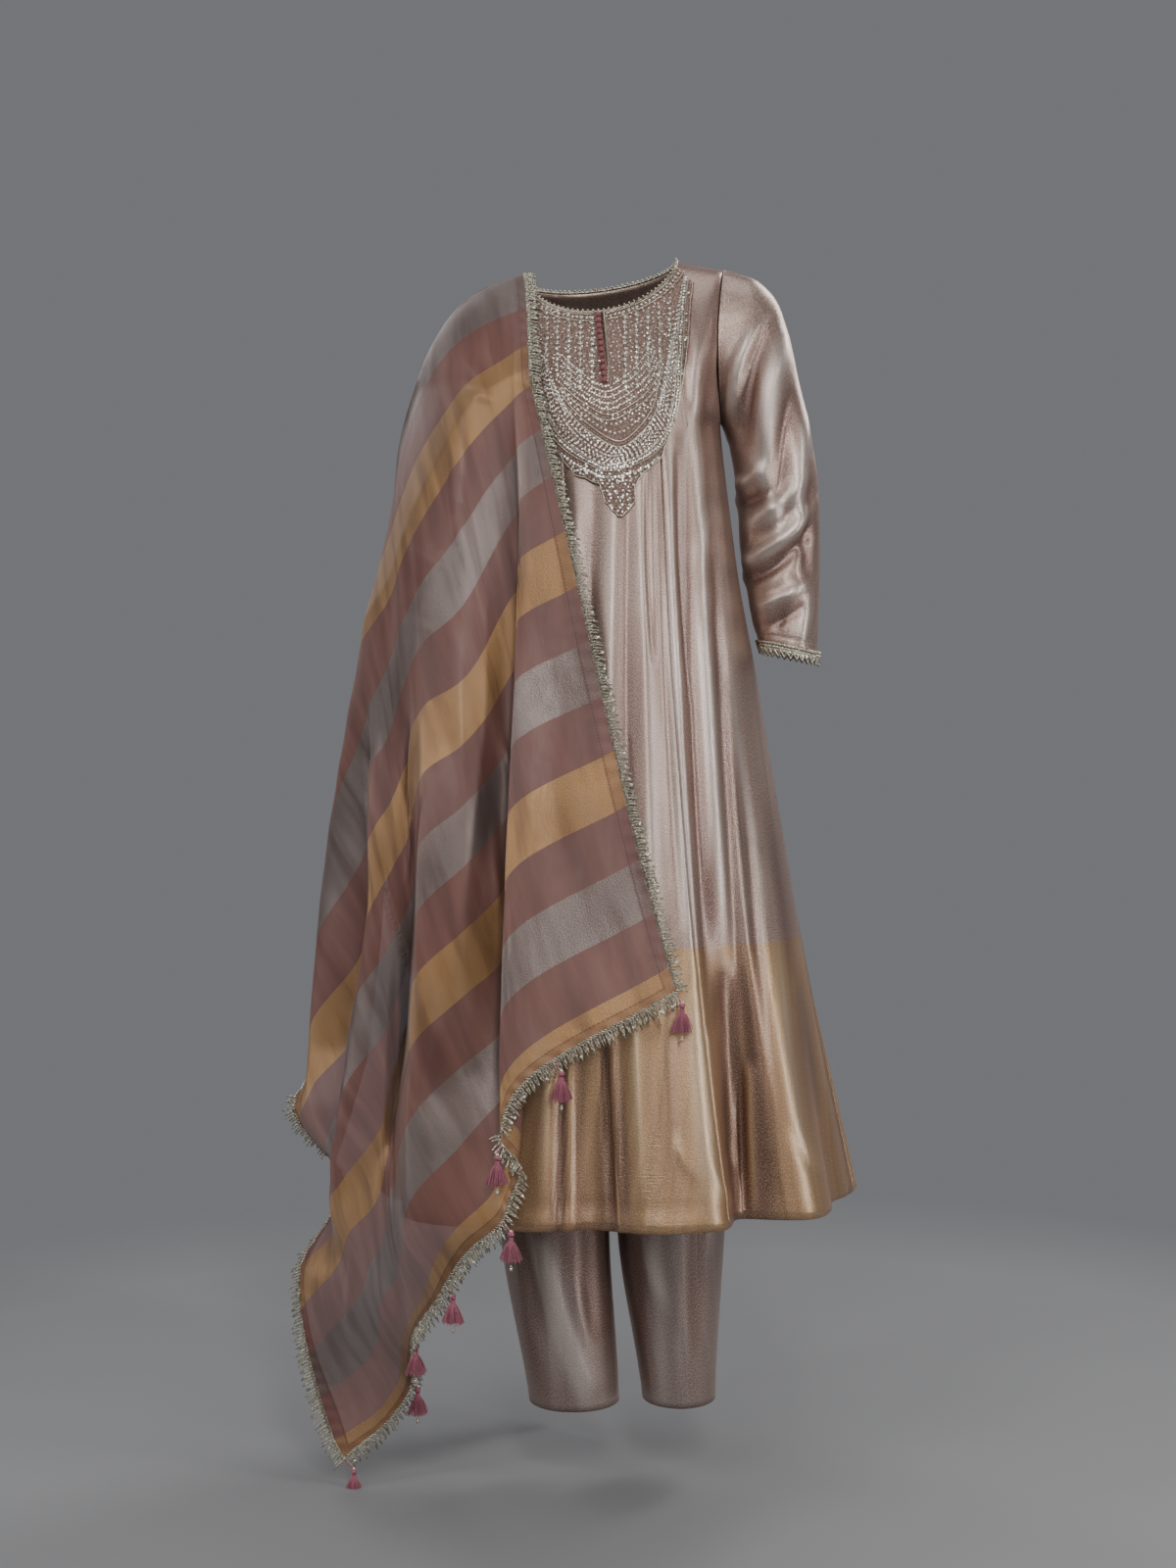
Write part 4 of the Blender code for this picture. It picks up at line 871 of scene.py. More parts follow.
def soft_kurta(share, z, front, seam_gap):
    """How far creases, seams and the hem's weight move the cloth out, and its painted light:
    painted shade in hollows, painted highlight on full parts and in bands.
    """
    x = kurta_point(share, z, front)[..., 0]
    rise = dents(x, z, FRONT_CREASES if front else BACK_CREASES) * 0.72 * bound((-0.06 - z) / 0.05)
    turn = np.degrees(np.arctan2(share, np.sqrt(bound(1 - share ** 2))))
    # Painted highlight and painted shade laid in bands across the front.
    painted_light_bands = dents(x, z, FRONT_PAINTED_LIGHT) if front else 0
    push = fold_push(turn if front else 180 - turn, z)
    seam = bell(seam_gap, 0.0022) * -0.0010
    pucker = bell(seam_gap, 0.010) * 0.00035 * np.sin(z * 420 + 2 * np.sin(z * 37))
    above_hem = z - HEM_Z - 0.026
    hem = bell(above_hem, 0.0016) * -0.0007 + np.where(above_hem < 0, 0.0003, 0)
    return rise + seam + pucker + hem, bound(0.5 + painted_light_bands + rise / 0.010 + push / 0.07)


def kurta():
    """Six panels. A share of each side panel lies below the neck; the front is slit."""
    neck, split = 0.423, 31
    side = np.concatenate([neck * np.sin(np.linspace(0, math.pi / 2, 26)),
                           neck + (1 - neck) * np.linspace(0, 1, 36)[1:]])
    down = (1 - KURTA_FALL) * (NECK_Z - HEM_Z) / SLIT_LENGTH
    slit = SLIT_PLACE + SLIT_TURN * bound(down)
    half = SLIT_HALF / 0.052 * np.clip((1.05 - down) * 20, 0.05, 1)
    u = np.linspace(0, 1, split + 1)
    cleft = np.concatenate([-1 + u * (slit - half + 1), slit + half + u * (1 - slit - half)], 1)
    for front, word, middle in ((True, "front", cleft), (False, "back", np.linspace(-1, 1, 60))):
        # the start of each panel's weave keeps its pattern apart from its neighbours'
        for name, places, weave in (("right", -(1 + side)[::-1], 0.9), ("centre", middle, 0.5),
                                    ("left", 1 + side, 0.1)):
            share, z = kurta_grid(places, front)
            base = kurta_point(share, z, front)
            normals = grid_normals(base, (0, -1 if front else 1, 0))
            run = run_along(base, 1)
            gap = run if name == "left" else run[:, -1:] - run
            if name == "centre":
                gap = np.minimum(run, gap)
            rise, painted_light = soft_kurta(share, z, front, gap)
            points = base + normals * rise[..., None]
            for k, beside in ((0, 1), (-1, -2)):        # panels lap over each other at a seam
                if name != ("left" if k else "right"):
                    points[:, k] -= unit(points[:, beside] - points[:, k]) * 0.0003
            slitted = front and name == "centre"
            obj = shell(f"kurta_{word}_{name}_cloth", points, normals,
                        stack(run + weave + (0 if front else 1.2), z), KURTA_LOOK,
                        f"kurta_{word}_{name}", painted_light, 0.0007, keep=None if not slitted else
                        lambda i, j: ~((j == split) & (z[i, split] > SLIT_FOOT - 0.002)))


# ---------------------------------------------------------------- yoke and its work
def on_front(x, z, lift):
    """Points on the kurta's front at x, z, standing off by lift, and the way they face."""
    share = front_share(x, z)
    here = kurta_point(share, z, True)
    right, below = kurta_point(share + 0.004, z, True), kurta_point(share, z - 0.001, True)
    out = unit(np.cross(right - here, below - here))
    out *= -np.sign(out[..., 1:2])
    return here + out * np.asarray(lift)[..., None], out


def neck_xz(turn, drop):
    """A line along the neckline, drop below it."""
    a = math.pi * np.asarray(turn, float)
    share = -np.cos(a) * NECK_HALF / TIP_HALF
    z = top_z(share, True)
    x = kurta_point(share, z, True)[..., 0]
    spread = np.sign(-np.cos(a)) * abs(np.cos(a)) ** 3 * 1.1 - 0.013 * 2.2
    return stack(x * (1 - drop * 2.2) + drop * spread, z - drop * (0.25 + 0.75 * np.sin(a) ** 0.7))


def yoke_rim(step):
    """Outer edge of the yoke as x, z; step 0..1 from the right shoulder to the left one."""
    return read(stack(*YOKE_EDGE.values()), np.linspace(0, 1, len(YOKE_EDGE["x"])), step)


def yoke_place(step, out):
    """x, z on the yoke: out 0 at the neckline, 1 at the outer edge."""
    start = neck_xz(0.06 + 0.88 * step, 0.0)
    edge = yoke_rim(step)
    scallop = 0.0016 * abs(np.sin(step * math.pi * 34))
    return start + (edge - start + unit(edge - start) * scallop[..., None]) * out[..., None]


def smooth_line(points, pitch=0.002):
    """An even, smooth line through x, z points."""
    run = run_along(points)
    at = np.linspace(0, run[-1], max(3, int(run[-1] / pitch) + 1))
    return stack(*[along(run, column, at) for column in points.T])


def slit_gap(x, z):
    """How far x, z stands from the slit's line, which leans."""
    return x - SLIT_X - (NECK_Z - z) * SLIT_LEAN


def yoke():
    rows, cols = 44, 210
    out = np.linspace(0, 1, rows)[:, None] ** 0.9 + np.zeros((1, cols))
    xz = yoke_place(np.linspace(0, 1, cols) + np.zeros((rows, 1)), out)
    x, z = xz[..., 0], xz[..., 1]
    slit = (abs(slit_gap(x, z)) < SLIT_HALF + 0.0008) & (z > SLIT_FOOT)
    points, normals = on_front(x, z, 0.0018 + 0.0005 * bound((1 - out) * 14))
    obj = shell("yoke_cloth", points, normals, xz + 3.0, YOKE_LOOK, "yoke", thick=0.0009,
                keep=lambda i, j: ~(slit[i, j] & slit[i + 1, j + 1]))


# Lines of the yoke's work, as x and z: chevrons, arcs and the borders beside them.
WORK_LINES = [mm(2, text) for text in (
    """-64 -161, -40 -183, -6 -201, 22 -188, 50 -160, 58 -138""",
    """-63 -155, -39 -177, -6 -195, 21 -182, 47 -155, 54 -138""",
    """-64 -170, -50 -192, -30 -212, 6 -232, 34 -212, 52 -180, 58 -150""",
    """-60 -170, -46 -188, -28 -206, 6 -225, 30 -207, 47 -178, 53 -150""",
    """-98 -75, -94 -120, -88 -150, -79 -188, -58 -222, -30 -244, -6 -254, 20 -247, 44 -232,
    62 -205, 70 -170, 73.5 -130, 76.5 -90, 80 -55, 84.5 -22""",
    """-103 -72, -99 -118, -93 -152, -84 -192, -62 -228, -32 -250, -6 -260, 22 -253, 47 -238,
    67 -209, 75.5 -172, 79 -130, 82.5 -90, 85.5 -55, 89.5 -22""")]
PETAL_STEMS = mm(1, "-78 -65.5 -52 -38.5 -24.5 13.5 27 40.5 54 66")[:, 0]


def inside_yoke(x, z, margin=0.002):
    """Whether x, z lies on the yoke, clear of its rim, of the neckline and of the slit."""
    neck = neck_xz(np.linspace(0.94, 0.06, 60), 0.0)
    loop = np.concatenate([yoke_rim(np.linspace(0, 1, 260)), neck])
    (x0, z0), (x1, z1) = loop.T, np.roll(loop, -1, 0).T
    px, pz = x[:, None], z[:, None]
    with np.errstate(divide="ignore", invalid="ignore"):
        at = (x1 - x0) * (pz - z0) / (z1 - z0) + x0
    inside = ((px < at) & ((z0 > pz) != (z1 > pz))).sum(1) % 2 == 1
    near = np.sqrt((px - x0) ** 2 + (pz - z0) ** 2).min(1)
    return inside & (near > margin) & ((abs(slit_gap(x, z)) > 0.0062) | (z < SLIT_FOOT - 0.004))


def between(a, b, share):
    """A line that lies between two of the yoke's lines."""
    p, q = [read(line, np.linspace(0, 1, len(line)), np.linspace(0, 1, 160))
            for line in (smooth_line(WORK_LINES[a]), smooth_line(WORK_LINES[b]))]
    return p * (1 - share) + q * share


def scattered(x_span, z_span, shift, jitter, seeds):
    """Points of a grid, each moved a little; odd rows stand aside by shift."""
    gx, gz = np.meshgrid(np.arange(*x_span), np.arange(*z_span))
    gx = gx + shift * (np.arange(gx.shape[0]) % 2)[:, None]
    a, b, c, d = seeds
    gx, gz = gx + jitter[0] * noise1(gx * a + gz * b), gz + jitter[1] * noise1(gz * c + gx * d)
    return stack(gx.ravel(), gz.ravel())


def yoke_work():
    """Sequins, beads and couched threads, laid out in lines, stems, bands and a filled rim."""
    threads, sequins, beads = [], [], []

    def couch(line, radius):
        threads.append(tubes(on_front(line[:, 0], line[:, 1], 0.0029 + radius)[0][None], radius, 4))

    def strew(line, radius, sort):
        radius = np.broadcast_to(radius, len(line))
        good = inside_yoke(*line.T)
        sort.append((*line[good].T, radius[good]))

    def florets(line, size, petals=5, start=0.0):
        """Little flowers: a sequin in the middle of a ring of beads."""
        strew(line, size * 0.50, sequins)
        for a in start + turns(petals):
            strew(line + size * 0.72 * np.array([math.cos(a), math.sin(a)]), size * 0.24, beads)

    def grown(share):
        """The outermost line, spread away from the middle of the yoke."""
        heart = np.array([-0.006, -0.13])
        return smooth_line(heart + (WORK_LINES[5] - heart) * share)

    for points in WORK_LINES:
        couch(smooth_line(points, 0.0015), 0.00075)
    for a in (0, 2):
        strew(resample(between(a, a + 1, 0.5), 0.0030), 0.0008, beads)
    strew(resample(between(4, 5, 0.5), 0.0038), 0.0018, sequins)
    outer = resample(grown(1.06), 0.0046)
    strew(outer, 0.0020, sequins)
    strew(outer + (0.0018, -0.0012), 0.0008, beads)
    florets(resample(grown(1.115), 0.0056), 0.0022)
    for drop in (0.0030, 0.0120):               # the band round the neck
        line = neck_xz(np.linspace(0.06, 0.94, 130), drop)
        away = abs(slit_gap(*line.T)) > 0.0058
        for part in (line[away & (line[:, 0] < SLIT_X)], line[away & (line[:, 0] > SLIT_X)]):
            couch(resample(part, 0.0022), 0.0007)
    band = np.linspace(0.06, 0.94, 200)
    florets(resample(neck_xz(band, 0.0076), 0.0056), 0.0027, 6)
    strew(resample(neck_xz(band, 0.0052), 0.0028), 0.0006, beads)
    for stem, x in enumerate(PETAL_STEMS):      # upright rows of florets, a fine thread between
        top = neck_xz(0.5, 0.0)[1] - 0.010 + (abs(x + 0.010) / 0.1) ** 2 * 0.035
        foot = -0.168 + 0.42 * max(0.0, abs(x + 0.006) - 0.022)
        z = np.arange(top, foot, -0.0066)
        florets(stack(x + 0.0006 * np.sin(z * 300 + stem), z), 0.0036, 6, stem * 0.5)
        strew(stack(x, z - 0.0030), 0.0006, beads)
        for aside in (-0.0042, 0.0042):
            strew(stack(x + aside, np.arange(top, foot, -0.0020)), 0.00048, beads)
    for k in range(5):                          # arcs of florets between the V and the outer arc
        florets(resample(between(2, 4, (k + 0.6) / 5), 0.0058), 0.0025, 5, k * 0.7)
    for share in (0.35, 0.7):
        florets(resample(between(1, 3, share), 0.0056), 0.0023, 5, share)
    for k in range(7):                          # sequins between those arcs
        strew(resample(between(2, 4, (k + 0.5) / 7), 0.0052), 0.00105, sequins)
    for rise in 0.0065 * np.arange(1, 6):       # and smaller Vs, up to the slit's foot
        line = WORK_LINES[1] * (1 - rise * 3.2, 1) + (-0.004 * rise / 0.03, rise * 1.05)
        line = resample(smooth_line(line), 0.0034)
        strew(line, 0.00115, sequins)
        strew(line + (0.0017, -0.0026), 0.00065, beads)
    strew(scattered((-0.092, 0.072, 0.0070), (-0.200, -0.030, 0.0062), 0, (0.0024, 0.0022),
                    (811, 57, 713, 41)), 0.0011, sequins)
    fill = scattered((-0.125, 0.100, 0.0042), (-0.315, -0.040, 0.0040), 0.0021, (0.0009, 0.0009),
                     (911, 37, 613, 51))
    x, z = fill.T
    fill = fill[(z < -0.250) | (x > 0.083 + 0.1 * (z + 0.1)) | (x < -0.103 - 0.12 * (z + 0.1))]
    pick = noise1(fill[:, 0] * 77 + fill[:, 1] * 191)
    strew(fill[pick > 0], 0.0013 + 0.0004 * pick[pick > 0], sequins)
    strew(fill[pick <= 0], 0.0009, beads)
    rim = resample(yoke_place(np.linspace(0, 1, 500), np.full(500, 0.965)), 0.0026)
    beads.append((*rim.T, np.full(len(rim), 0.0008)))
    couch(resample(yoke_place(np.linspace(0, 1, 420), np.full(420, 0.990)), 0.0018), 0.0008)

    x, z, r = [np.concatenate(part) for part in zip(*sequins)]
    p, n = on_front(x, z, 0.0034 + 0 * x)
    tilt = 0.20 * stack(noise1(x * 997 + z * 13), 0, noise1(z * 787 + x * 7))
    p = p + n * 0.0006 * abs(noise1(x * 31 + z * 17))[:, None]
    add_mesh("yoke_sequins", *discs(p, n + tilt, r, sides=8, dome=0.25), SEQUIN)
    x, z, r = [np.concatenate(part) for part in zip(*beads)]
    add_mesh("yoke_beads", *balls(on_front(x, z, 0.0028 + r)[0], r, rows=2, cols=5), ZARI)
    add_mesh("yoke_threads", *join(*threads), ZARI)
    # maroon piping down the wearer's left border
    line = resample(yoke_rim(np.linspace(0.86, 1.0, 60)) + (0.0016, 0.0), 0.002)
    add_mesh("yoke_piping", *tubes(on_front(*line.T, 0.0020)[0][None], 0.0009, 6), MAROON)


def neck_edge():
    """A corded edge of two twisted metal threads with small beads, right round the neck."""
    count = 420
    line = np.array([neckline(2 * k / count) for k in range(count)]) + (0, 0, 0.0016)
    side, over = frame_of(unit(np.roll(line, -1, 0) - np.roll(line, 1, 0)), (0, 0, 1.0))
    twist = turns(count)[:, None] * 90
    strands = np.stack([line + 0.0011 * (side * np.cos(twist + a) + over * np.sin(twist + a))
                        for a in (0, math.pi)])
    add_mesh("neck_cord", *tubes(strands, 0.00115, 5, closed=True), SILVER, ("neck_binding",))
    few = line[::5] + over[::5] * 0.0024 - np.array([0, 0.0012, 0])
    add_mesh("neck_beads", *balls(few, 0.0013), ZARI)


def slit_spot(down, lift, aside):
    """A point off the slit's line, down from the neck and aside from the line."""
    return on_front(SLIT_X + down * SLIT_LEAN + aside, NECK_Z - down, lift)[0]


def buttons():
    """Covered ball buttons down the slit, their cloth gathered, and a loop for each."""
    rows, cols = 12, 18
    a = np.linspace(0.05, math.pi - 0.05, rows)[:, None]
    b = np.arange(cols + 1) * 2 * math.pi / cols
    pleat = 1 + 0.035 * np.cos(9 * b) * np.cos(a) ** 2
    ball = 0.0036 * stack(np.sin(a) * np.cos(b) * pleat, np.cos(a), np.sin(a) * np.sin(b) * pleat)
    faces = stack(*[i * (cols + 1) + j for i, j in corners(*cells(rows - 1, cols))])
    parts, loops = [], []
    for k in range(BUTTONS):
        spot = slit_spot(0.006 + k * (SLIT_LENGTH - 0.008) / (BUTTONS - 1), 0.0054, -0.0032)
        parts.append(((ball * (1 + 0.04 * noise1(k * 3.7)) + spot).reshape(-1, 3), faces))
        q = np.linspace(-1, 1, 15)
        loops.append(spot + stack(-0.0052 + 0.0078 * (1 - q ** 2),
                                  0.0016 * q ** 2 - 0.0002 - 0.0009 * (1 - q ** 2), 0.0030 * q))
    nodes = [f"button_{k + 1:02d}" for k in range(BUTTONS)]
    add_mesh("slit_buttons", *join(*parts), MAROON, nodes)
    add_mesh("slit_loops", *tubes(np.array(loops), 0.0007, 5), MAROON)
    for name, aside in (("slit_edge_right", -0.0042), ("slit_edge_left", 0.0036)):
        line = np.array([slit_spot(d, 0.0030, aside * (1 - (d / SLIT_LENGTH) ** 6))
                         for d in np.linspace(0, SLIT_LENGTH, 40)])
        add_mesh(name, *tubes(line[None], 0.0009, 6), ZARI)


# ---------------------------------------------------------------- sleeves
# Creases on the front of each sleeve in x and z; the back has the same ones, set lower.
SLEEVE_CREASES = {
    "left": mm(7, """
        145.6 -367.5 244 -289 9 8 10, 150 -388 240 -322 8 -6.5 8, 128.5 -273 178 -252 8 6 3,
        145 -294 190 -276 7 -5 2, 168 -85 138 -190 10 7 8, 187 -75 156 -215 10 -6.5 8,
        205 -90 180 -255 11 7 8, 222 -130 200 -300 9 -5 6, 238 -170 222 -330 10 5 6,
        160 -318 225 -262 9 5.5 6, 166 -230 200 -335 8 4 -4, 172 -415 240 -380 8 4.5 5,
        176 -440 232 -412 7 -3.5 3, 236 -395 226 -462 8 4 0, 205 -400 196 -455 8 -3 0,
        240 -250 236 -385 8 -4.5 3"""),
    "right": mm(7, """
        -165 -385 -262 -320 9 6.5 -9, -175 -415 -266 -360 8 -5.5 -8, -150 -300 -195 -285 9 5 0,
        -185 -110 -150 -210 11 6 -10, -212 -130 -185 -270 11 5 -8, -200 -450 -262 -430 8 4 0"""),
}


def sleeve(name, rings, cuff, weave):
    rows, cols = 132, 72
    down = np.linspace(0, 1, rows)[:, None]
    angle = turns(cols) + math.pi
    base = sleeve_point(rings, down, angle)
    normals = grid_normals(base)
    creases = SLEEVE_CREASES[name]
    x, z = base[..., 0], base[..., 2]
    front, behind = [bound(0.12 + way * normals[..., 1] * 1.5) for way in (-1, 1)]
    rise = dents(x, z, creases) * front + dents(x, z + 0.018, creases) * behind
    rise *= 1.18 * bound(down * 9) * np.clip((1.02 - down) * 14, 0.15, 1)
    head = bell(down - 0.035, 0.03) * 0.0009 * np.sin(angle * 17) * bound(np.cos(angle))
    points = base + normals * (rise + head + bell(down - 0.955, 0.004) * -0.0006)[..., None]
    run = run_along(np.concatenate([points, points[:, :1]], 1), 1)
    fall = run_along(points.mean(1))[:, None]
    # The sleeve carries painted light: painted shade in the creases' hollows, painted highlight on
    # their ridges.
    obj = shell(f"sleeve_{name}_cloth", points, normals, stack(run + weave, -fall - 0.05),
                KURTA_LOOK, f"sleeve_{name}", bound(0.5 + rise / 0.0095), 0.0007, wrap=True)
    # scalloped metal trim at the cuff: a braid, small arches and a sequin in each
    edge, out = points[-1], normals[-1]
    fall_way = unit(edge - points[-5])
    count = int(len(resample(np.concatenate([edge, edge[:1]]), 0.001)) / 7.5)
    index = np.linspace(0, cols, count, endpoint=False)

    def around(at, lift, drop):
        """A point off the cuff's edge: at places along it, lift off it, drop below it."""
        k, w = np.floor(at).astype(int) % cols, (at % 1)[..., None]
        here, off, fall = [v[k] * (1 - w) + v[(k + 1) % cols] * w for v in (edge, out, fall_way)]
        return here + off * np.asarray(lift)[..., None] + fall * np.asarray(drop)[..., None]
    at = np.linspace(0, cols, count * 6, endpoint=False)
    wave = 2 * math.pi * np.arange(len(at)) / 6
    braid = [around(at, 0.0020 + 0.0008 * np.sin(w), -height - 0.0011 * np.cos(w))
             for height in (0.0010, 0.0050) for w in (wave, wave + math.pi)]
    q = np.linspace(0, 1, 9)
    arches = [around(k + q * cols / count, 0.0022, 0.0078 * np.sin(math.pi * q) ** 0.8)
              for k in index]
    mid = index + 0.5 * cols / count
    face = around(mid, 1.0, 0.0) - around(mid, 0.0, 0.0)
    add_mesh(f"cuff_{name}_band", *join(
        tubes(np.array(braid), 0.0014, 4, closed=True), tubes(np.array(arches), 0.0015, 4),
        discs(around(mid, 0.0028, 0.0024), face, 0.0026),
        balls(around(mid, 0.0026, 0.0088), 0.0015)), SILVER, (cuff,))


# ---------------------------------------------------------------- trousers
# Creases of both legs, and painted highlight (+) and painted shade (-) on their fronts, in the same
# columns as the kurta's.
TROUSER_CREASES = {
    "left": mm(7, """
        75 -900 86 -1380 10 3.5 3, 38 -1165 62 -1262 10 4 4, 110 -1050 104 -1320 11 -3.5 3,
        58 -1100 64 -1360 11 -3 2, 128 -1120 112 -1220 9 3 2"""),
    "right": mm(7, """
        -98 -1140 -30 -1360 12 4.5 6, -75 -900 -70 -1380 10 3 4, -118 -1100 -85 -1300 10 -3.5 3,
        -30 -1100 -24 -1330 11 -3 0, -50 -1220 -18 -1330 9 2.8 3"""),
}
TROUSER_PAINTED_LIGHT = {
    "left": mm(7, """
        56 -1140 62 -1385 11 500 0, 34 -1140 36 -1385 9 -450 0, 100 -1140 97 -1370 11 -500 0,
        80 -1140 76 -1300 6 -200 0"""),
    "right": mm(7, """
        -100 -1170 -28 -1390 10 600 0, -48 -1120 -8 -1310 26 -950 0,
        -118 -1240 -75 -1390 11 -400 0, -80 -1130 -72 -1180 20 -600 0"""),
}


def trousers():
    z, q = np.linspace(TROUSER_HEM_Z, WAIST_Z, 120)[:, None], np.linspace(0, 1, 40)
    to_seam = np.minimum(q, 1 - q)
    hem = bell(z - TROUSER_HEM_Z - 0.015, 0.0012) * -0.0006
    seam = bell(to_seam * 0.2, 0.002) * -0.0010
    for name, leg, side in (("left", LEFT_LEG, 1), ("right", RIGHT_LEG, -1)):
        for front in (True, False):
            base = leg_point(leg, side, q, z, front)
            x, height = base[..., 0], base[..., 2]
            normals = grid_normals(base, (0, -1 if front else 1, 0))
            rise = dents(x, height - (0 if front else 0.03), TROUSER_CREASES[name])
            rise *= bound(to_seam * 9)
            # Painted highlight and painted shade in bands on the front; the creases add painted
            # shade in hollows and painted highlight on ridges.
            painted_light_bands = dents(x, height, TROUSER_PAINTED_LIGHT[name]) if front else 0
            run = run_along(base, 1)
            word = f"{'front' if front else 'back'}_{name}"
            obj = shell(f"trouser_{word}_cloth", base + normals * (rise + hem + seam)[..., None],
                        normals, stack(run + 6 + side + (0 if front else 0.4), height),
                        TROUSER_LOOK, f"trouser_{word}", bound(0.5 + painted_light_bands + rise / 0.010), 0.0008)
    angle = turns(240)
    z = np.linspace(WAIST_Z + 0.001, WAIST_Z + 0.035, 9)[:, None]
    half, before, behind = [along(HIPS["z"], HIPS[n], z) for n in ("half", "front", "back")]
    depth = np.where(np.sin(angle) < 0, before, behind)
    ruffle = 0.0012 * np.sin(angle * 48) * np.sin((z - WAIST_Z) / 0.036 * math.pi * 3) ** 2
    points = stack((half + ruffle) * np.cos(angle), (depth + ruffle) * np.sin(angle), z)
    uv = stack(np.linspace(0, 0.74, 241) + 9, z)
    # The ruffle carries painted light: painted shade in its hollows, painted highlight on its
    # ridges.
    obj = shell("waistband_cloth", points, grid_normals(points), uv, TROUSER_LOOK,
                "trouser_waistband", 0.5 + 100 * ruffle, 0.0016, wrap=True)


# ---------------------------------------------------------------- dupatta
# Small creases in the cloth's own width and length, on the front half and on the back half.
FRONT_HALF_CREASES = mm(7, """
    95 55 62 95 6 3.5 0, 150 100 175 220 10 3 3, 60 200 80 340 11 2.5 3, 225 280 250 400 10 3 4,
    30 500 60 680 12 2.5 4, 300 320 360 390 9 5.5 3, 330 300 395 360 8 -4.5 3,
    345 360 420 420 9 5 3, 300 400 375 470 8 -4 0, 225 520 245 600 8 3.5 0,
    380 600 420 760 12 3 4, 480 500 540 620 11 3.5 4, 560 680 620 840 10 3.5 4,
    705 500 775 620 10 3.5 4, 770 660 835 760 10 4 3, 120 700 150 840 9 2.2 3,
    55 300 35 450 9 -2.2 3, 190 420 165 520 9 2.8 0, 440 240 520 360 11 3 0,
    620 340 700 460 11 3 3""")
BACK_HALF_CREASES = mm(7, """
    100 -200 160 -420 11 3.5 4, 250 -250 300 -500 12 3.5 4, 400 -300 460 -620 11 3.5 4,
    600 -400 660 -700 12 3 4, 180 -600 220 -850 11 3 4, 750 -500 800 -800 11 3 4,
    500 -700 540 -920 9 -3 3, 50 -500 90 -800 10 2.8 3""")


def dupatta_grid(front, rows, cols):
    t = np.linspace(0, DUPATTA_WIDTH, cols)[None, :]
    reach = np.linspace(0, 1, rows)[:, None] ** (1.15 if front else 1.5)
    points = (dupatta_front if front else dupatta_back)(reach, t)
    s0, end = shoulder_line(t)[0], FRONT_REACH if front else BACK_S_END
    t, s = np.broadcast_arrays(t, s0 + reach * (end - s0))
    normals = grid_normals(points, (-0.6, -1, 0.3) if front else (-0.4, 1, 0.3))
    rise = dents(t, s, FRONT_HALF_CREASES if front else BACK_HALF_CREASES)
    ripple = 0.0007 * np.sin(t * 61 + 3 * np.sin(s * 9)) * np.sin(s * 23 + 2 * np.sin(t * 11))
    fade = bound(reach * 14)
    rim = np.minimum(np.minimum(t, DUPATTA_WIDTH - t), abs(s - end))
    pucker = 0.0007 * bell(rim, 0.012) * np.sin((t + s) * 300)
    if not front:                               # the back half hangs in finer folds than its solid
        drop = ease((-0.10 - points[..., 2]) / 0.45)
        turn = 2 * math.pi * (t * 16.6 + 0.25 * np.sin(s * 5 + t * 9))
        rise = rise + 0.0072 * drop * np.sin(turn) * (1 + 0.35 * np.sin(t * 17 + s * 2))
    points = points + normals * ((rise + ripple + pucker) * fade)[..., None]
    span = cols // 24                           # hollows between the folds, where the look paints shade
    wide = np.pad(points, ((0, 0), (span, span), (0, 0)), mode="edge").cumsum(1)
    before = np.concatenate([wide[:, :1] * 0, wide[:, :-2 * span - 1]], 1)
    mean = (wide[:, 2 * span:] - before) / (2 * span + 1)
    hollow = ((points - mean[:, :cols]) * normals).sum(-1)
    # The last value is painted light: painted shade in the hollows, painted highlight on the full
    # parts.
    return points, normals, stack(t, s), bound(0.5 + hollow * fade / (0.016 if front else 0.034))


def trim_frames(edge, inside, pitch):
    """Even points along an edge with the ways out of the cloth, along it and off it."""
    run = run_along(edge)
    at = np.arange(pitch / 2, run[-1], pitch)
    here, out = read(edge, run, at), unit(read(unit(edge - inside), run, at))
    ahead = unit(np.gradient(here, axis=0))
    out = unit(out - ahead * (out * ahead).sum(-1, keepdims=True))
    return here, out, ahead, np.cross(ahead, out)


